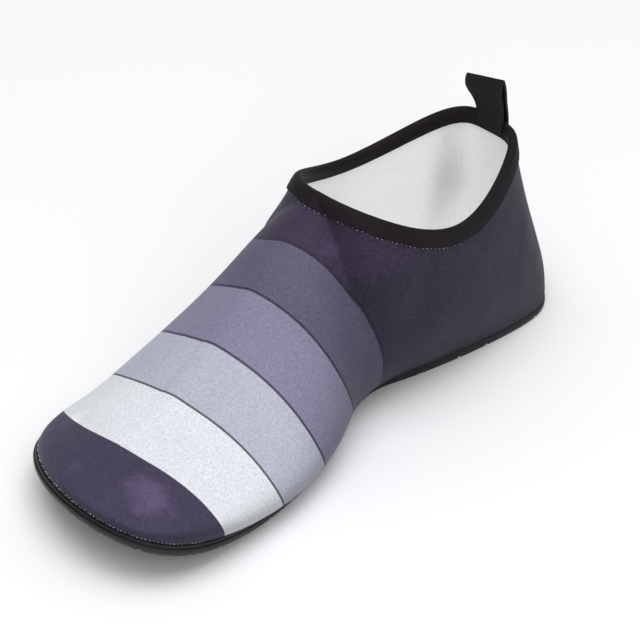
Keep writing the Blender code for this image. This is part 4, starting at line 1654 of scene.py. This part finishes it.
@dataclass
class Outsole(Plate):
    """The rubber sole: stepped side, hollowed waist, lugs between grooves, and fine sipes in the lugs."""

    name = "rubber_sole"
    slot = "rubber"
    replaced = ("outsole",)
    sharp_angle = 28.0

    pitch: float = 0.015
    groove_width: float = 0.0022
    groove_depth: float = 0.0013
    lane_depth: float = 0.0016
    sipe_width: float = 0.0007
    sipe_depth: float = 0.0007
    lane_steps: int = 30
    medial_lanes: int = 3
    lateral_lanes: int = 2

    def shape(self) -> bmesh.types.BMesh:
        """The uncut sole."""
        last = self.last
        turns = last.turns(self.side_columns)

        def level(x: np.ndarray, up: float) -> np.ndarray:
            """A height between the underside and the deck."""
            return last.underside(x) + up * (last.deck(x) - last.underside(x))

        rings = [last.ring(turns, lambda x: out * last.ledge(x), lambda x: level(x, up))
                 for out, up in SOLE_SIDE]
        return self.loft(rings, last.underside, last.deck)

    def _crossings(self) -> list[float]:
        """Places along the sole of the cross grooves."""
        sizes = self.last.sizes
        first = sizes.arch_end * sizes.length
        front = int((sizes.length - first) / self.pitch)
        return [sizes.heel_pad_x + lug * self.pitch for lug in (-1, 1, 2)] + [
            first + k * self.pitch for k in range(front)]

    def _bars(self, spots: Sequence[float], width: float, depth: float) -> bmesh.types.BMesh:
        """Bars that cut the sole from side to side, square to its underside."""
        last, span = self.last, self.groove_width
        bm = bmesh.new()
        for x in spots:
            low, high = float(last.ground(x - span)), float(last.ground(x + span))
            pitch = math.atan2(high - low, 2 * span)
            size = Matrix.Diagonal((width, 2 * last.sizes.ball_width, 2 * depth, 1))
            middle = Matrix.Translation((x, 0, float(last.ground(x))))
            bmesh.ops.create_cube(bm, size=1.0, matrix=middle @ Matrix.Rotation(-pitch, 4, "Y") @ size)
        return bm

    def _lanes(self, lanes: Sequence[float], width: float, depth: float) -> bmesh.types.BMesh:
        """Bars that run forward under the forefoot and out at the toe, following its spring."""
        sizes = self.last.sizes
        start = (sizes.arch_end + sizes.spring_start) / 2 * sizes.length
        stops = np.linspace(start, sizes.length + self.pitch, self.lane_steps)
        bm = bmesh.new()
        for lane in lanes:
            loops = []
            for x in stops:
                level = float(self.last.ground(x))
                corners = ((-1, -1), (1, -1), (1, 1), (-1, 1))
                loops.append([bm.verts.new((x, lane + a * width / 2, level + b * depth)) for a, b in corners])
            bm.faces.new(loops[0])
            bm.faces.new(loops[-1])
            for here, ahead in zip(loops, loops[1:]):
                for k in range(4):
                    bm.faces.new((here[k], ahead[k], ahead[(k + 1) % 4], here[(k + 1) % 4]))
        bmesh.ops.recalc_face_normals(bm, faces=bm.faces)
        return bm

    def refine(self, piece: bpy.types.Object) -> None:
        """Cut the grooves and the sipes, and keep the result."""
        crossings = self._crossings()
        lanes = np.arange(-self.lateral_lanes, self.medial_lanes + 1) * self.pitch
        between = [x + self.pitch / 2 for x in crossings if x + self.pitch < self.last.sizes.length]
        cuts = (self._bars(crossings, self.groove_width, self.groove_depth),
                self._lanes(lanes, self.groove_width, self.lane_depth),
                self._bars(between, self.sipe_width, self.sipe_depth))
        cutters = []
        for number, bm in enumerate(cuts):
            cutter = framed(f"groove_{number}", bm, self.last.sizes)
            cut = piece.modifiers.new(cutter.name, "BOOLEAN")
            cut.operation = "DIFFERENCE"
            cut.solver = "EXACT"
            cut.object = cutter
            cutters.append(cutter)
        bpy.context.view_layer.update()
        evaluated = piece.evaluated_get(bpy.context.evaluated_depsgraph_get())
        cut_mesh = bpy.data.meshes.new_from_object(evaluated)
        piece.modifiers.clear()
        piece.data = cut_mesh
        for cutter in cutters:
            bpy.data.objects.remove(cutter, do_unlink=True)


@dataclass
class SockLiner(Plate):
    """The white sock liner on the sole, inside the wall."""

    name = "sock_liner"
    slot = "liner"
    replaced = ("insole",)

    def shape(self) -> bmesh.types.BMesh:
        """A thin plate with a rounded upper edge."""
        last, sizes = self.last, self.last.sizes
        turns = last.turns(self.side_columns)
        edge = sizes.wall + 2 * sizes.clearance

        def under(x: np.ndarray) -> np.ndarray:
            """The liner's underside."""
            return last.deck(x) + sizes.clearance

        def over(x: np.ndarray) -> np.ndarray:
            """The liner's upper face."""
            return under(x) + sizes.liner

        rings = []
        for inward, up in LINER_SIDE:
            out = -edge - inward * sizes.liner
            rise = up * sizes.liner
            rings.append(last.ring(turns, lambda x: np.full_like(x, out), lambda x: under(x) + rise))
        return self.loft(rings, under, over)


@dataclass(frozen=True)
class Softbox:
    """One area light of the studio."""

    name: str
    place: Triple
    target: Triple
    width: float
    power: float
    colour: Colour

    def make(self) -> None:
        """Hang the light."""
        light = bpy.data.lights.new(self.name, "AREA")
        light.shape = "SQUARE"
        light.size = self.width
        light.energy = self.power
        light.color = self.colour
        aim(new_object(self.name, light), self.place, self.target)


@dataclass(frozen=True)
class Studio:
    """The pale floor, the soft lights and the camera."""

    floor_size: float = 6.0
    floor_colour: Colour = (0.90, 0.90, 0.91)
    sky: Colour = (1.0, 1.0, 1.0)
    sky_strength: float = 0.50
    softboxes: tuple[Softbox, ...] = (
        Softbox("overhead", (0.25, 0.25, 2.00), (0.10, 0.0, 0.0), 1.7, 28.0, (0.98, 0.99, 1.0)),
        Softbox("front", (0.75, 1.15, 0.95), (0.05, 0.0, 0.05), 0.8, 5.0, (0.98, 0.99, 1.0)),
    )
    camera_place: Triple = (0.7205, 0.67278, 0.69299)
    camera_target: Triple = (0.0945, 0.0085, 0.042)
    lens: float = 155.0

    def _floor(self) -> None:
        """Lay the floor."""
        bpy.ops.mesh.primitive_plane_add(size=self.floor_size)
        floor = bpy.context.object
        floor.name = "floor"
        material = bpy.data.materials.new("floor")
        material.use_nodes = True
        shader = material.node_tree.nodes["Principled BSDF"]
        shader.inputs["Base Color"].default_value = rgba(self.floor_colour)
        shader.inputs["Roughness"].default_value = 0.7
        floor.data.materials.append(material)

    def _sky(self) -> None:
        """Light the world evenly."""
        world = bpy.data.worlds.new("studio")
        world.use_nodes = True
        background = world.node_tree.nodes["Background"]
        background.inputs["Color"].default_value = rgba(self.sky)
        background.inputs["Strength"].default_value = self.sky_strength
        bpy.context.scene.world = world

    def _camera(self) -> None:
        """Stand the camera where the shoe is seen from."""
        camera = new_object("camera", bpy.data.cameras.new("camera"))
        aim(camera, self.camera_place, self.camera_target)
        camera.data.lens = self.lens
        camera.data.sensor_width = 36.0
        bpy.context.scene.camera = camera

    def make(self) -> None:
        """Set the studio up, with colours shown as they are."""
        bpy.context.scene.view_settings.view_transform = "Standard"
        self._floor()
        self._sky()
        for softbox in self.softboxes:
            softbox.make()
        self._camera()


def main() -> None:
    """Load the frame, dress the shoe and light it."""
    logging.basicConfig(level=logging.INFO)
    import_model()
    last = Last(Sizes())
    groups = ShaderGroups()
    knit = PrintedKnit().material(groups)
    lining = WhiteLining().material(groups)
    elastic = WovenTape("black_elastic", colour=(0.0095, 0.0065, 0.0095), rib=0.0011, warp=0.0006,
                        slant=0.0, relief=0.00010, roughness=0.72).material(groups)
    webbing = WovenTape("black_webbing", colour=(0.010, 0.008, 0.010), rib=0.0014, warp=0.0009,
                        slant=0.5, relief=0.00016, roughness=0.68).material(groups)
    rubber = MouldedRubber().material(groups)
    pale = SewingThread(Thread.PALE, (0.58, 0.56, 0.64)).material(groups)
    black = SewingThread(Thread.BLACK, (0.03, 0.028, 0.032)).material(groups)

    upper = Upper(last, [knit, lining])
    surface = WallSurface(upper.shape())
    binding = CollarBinding(last, [elastic], surface)
    tab = PullTab(last, [webbing], surface)
    pieces: tuple[ShoePiece, ...] = (
        Outsole(last, [rubber]),
        SockLiner(last, [lining]),
        upper,
        binding,
        tab,
        BindingStitches(last, [pale], surface, binding),
        ToeOverlock(last, [pale], surface),
        TabStitches(last, [black], tab),
    )
    for piece in pieces:
        piece.make()
    surface.mesh.free()
    Studio().make()


if __name__ == "__main__":
    main()
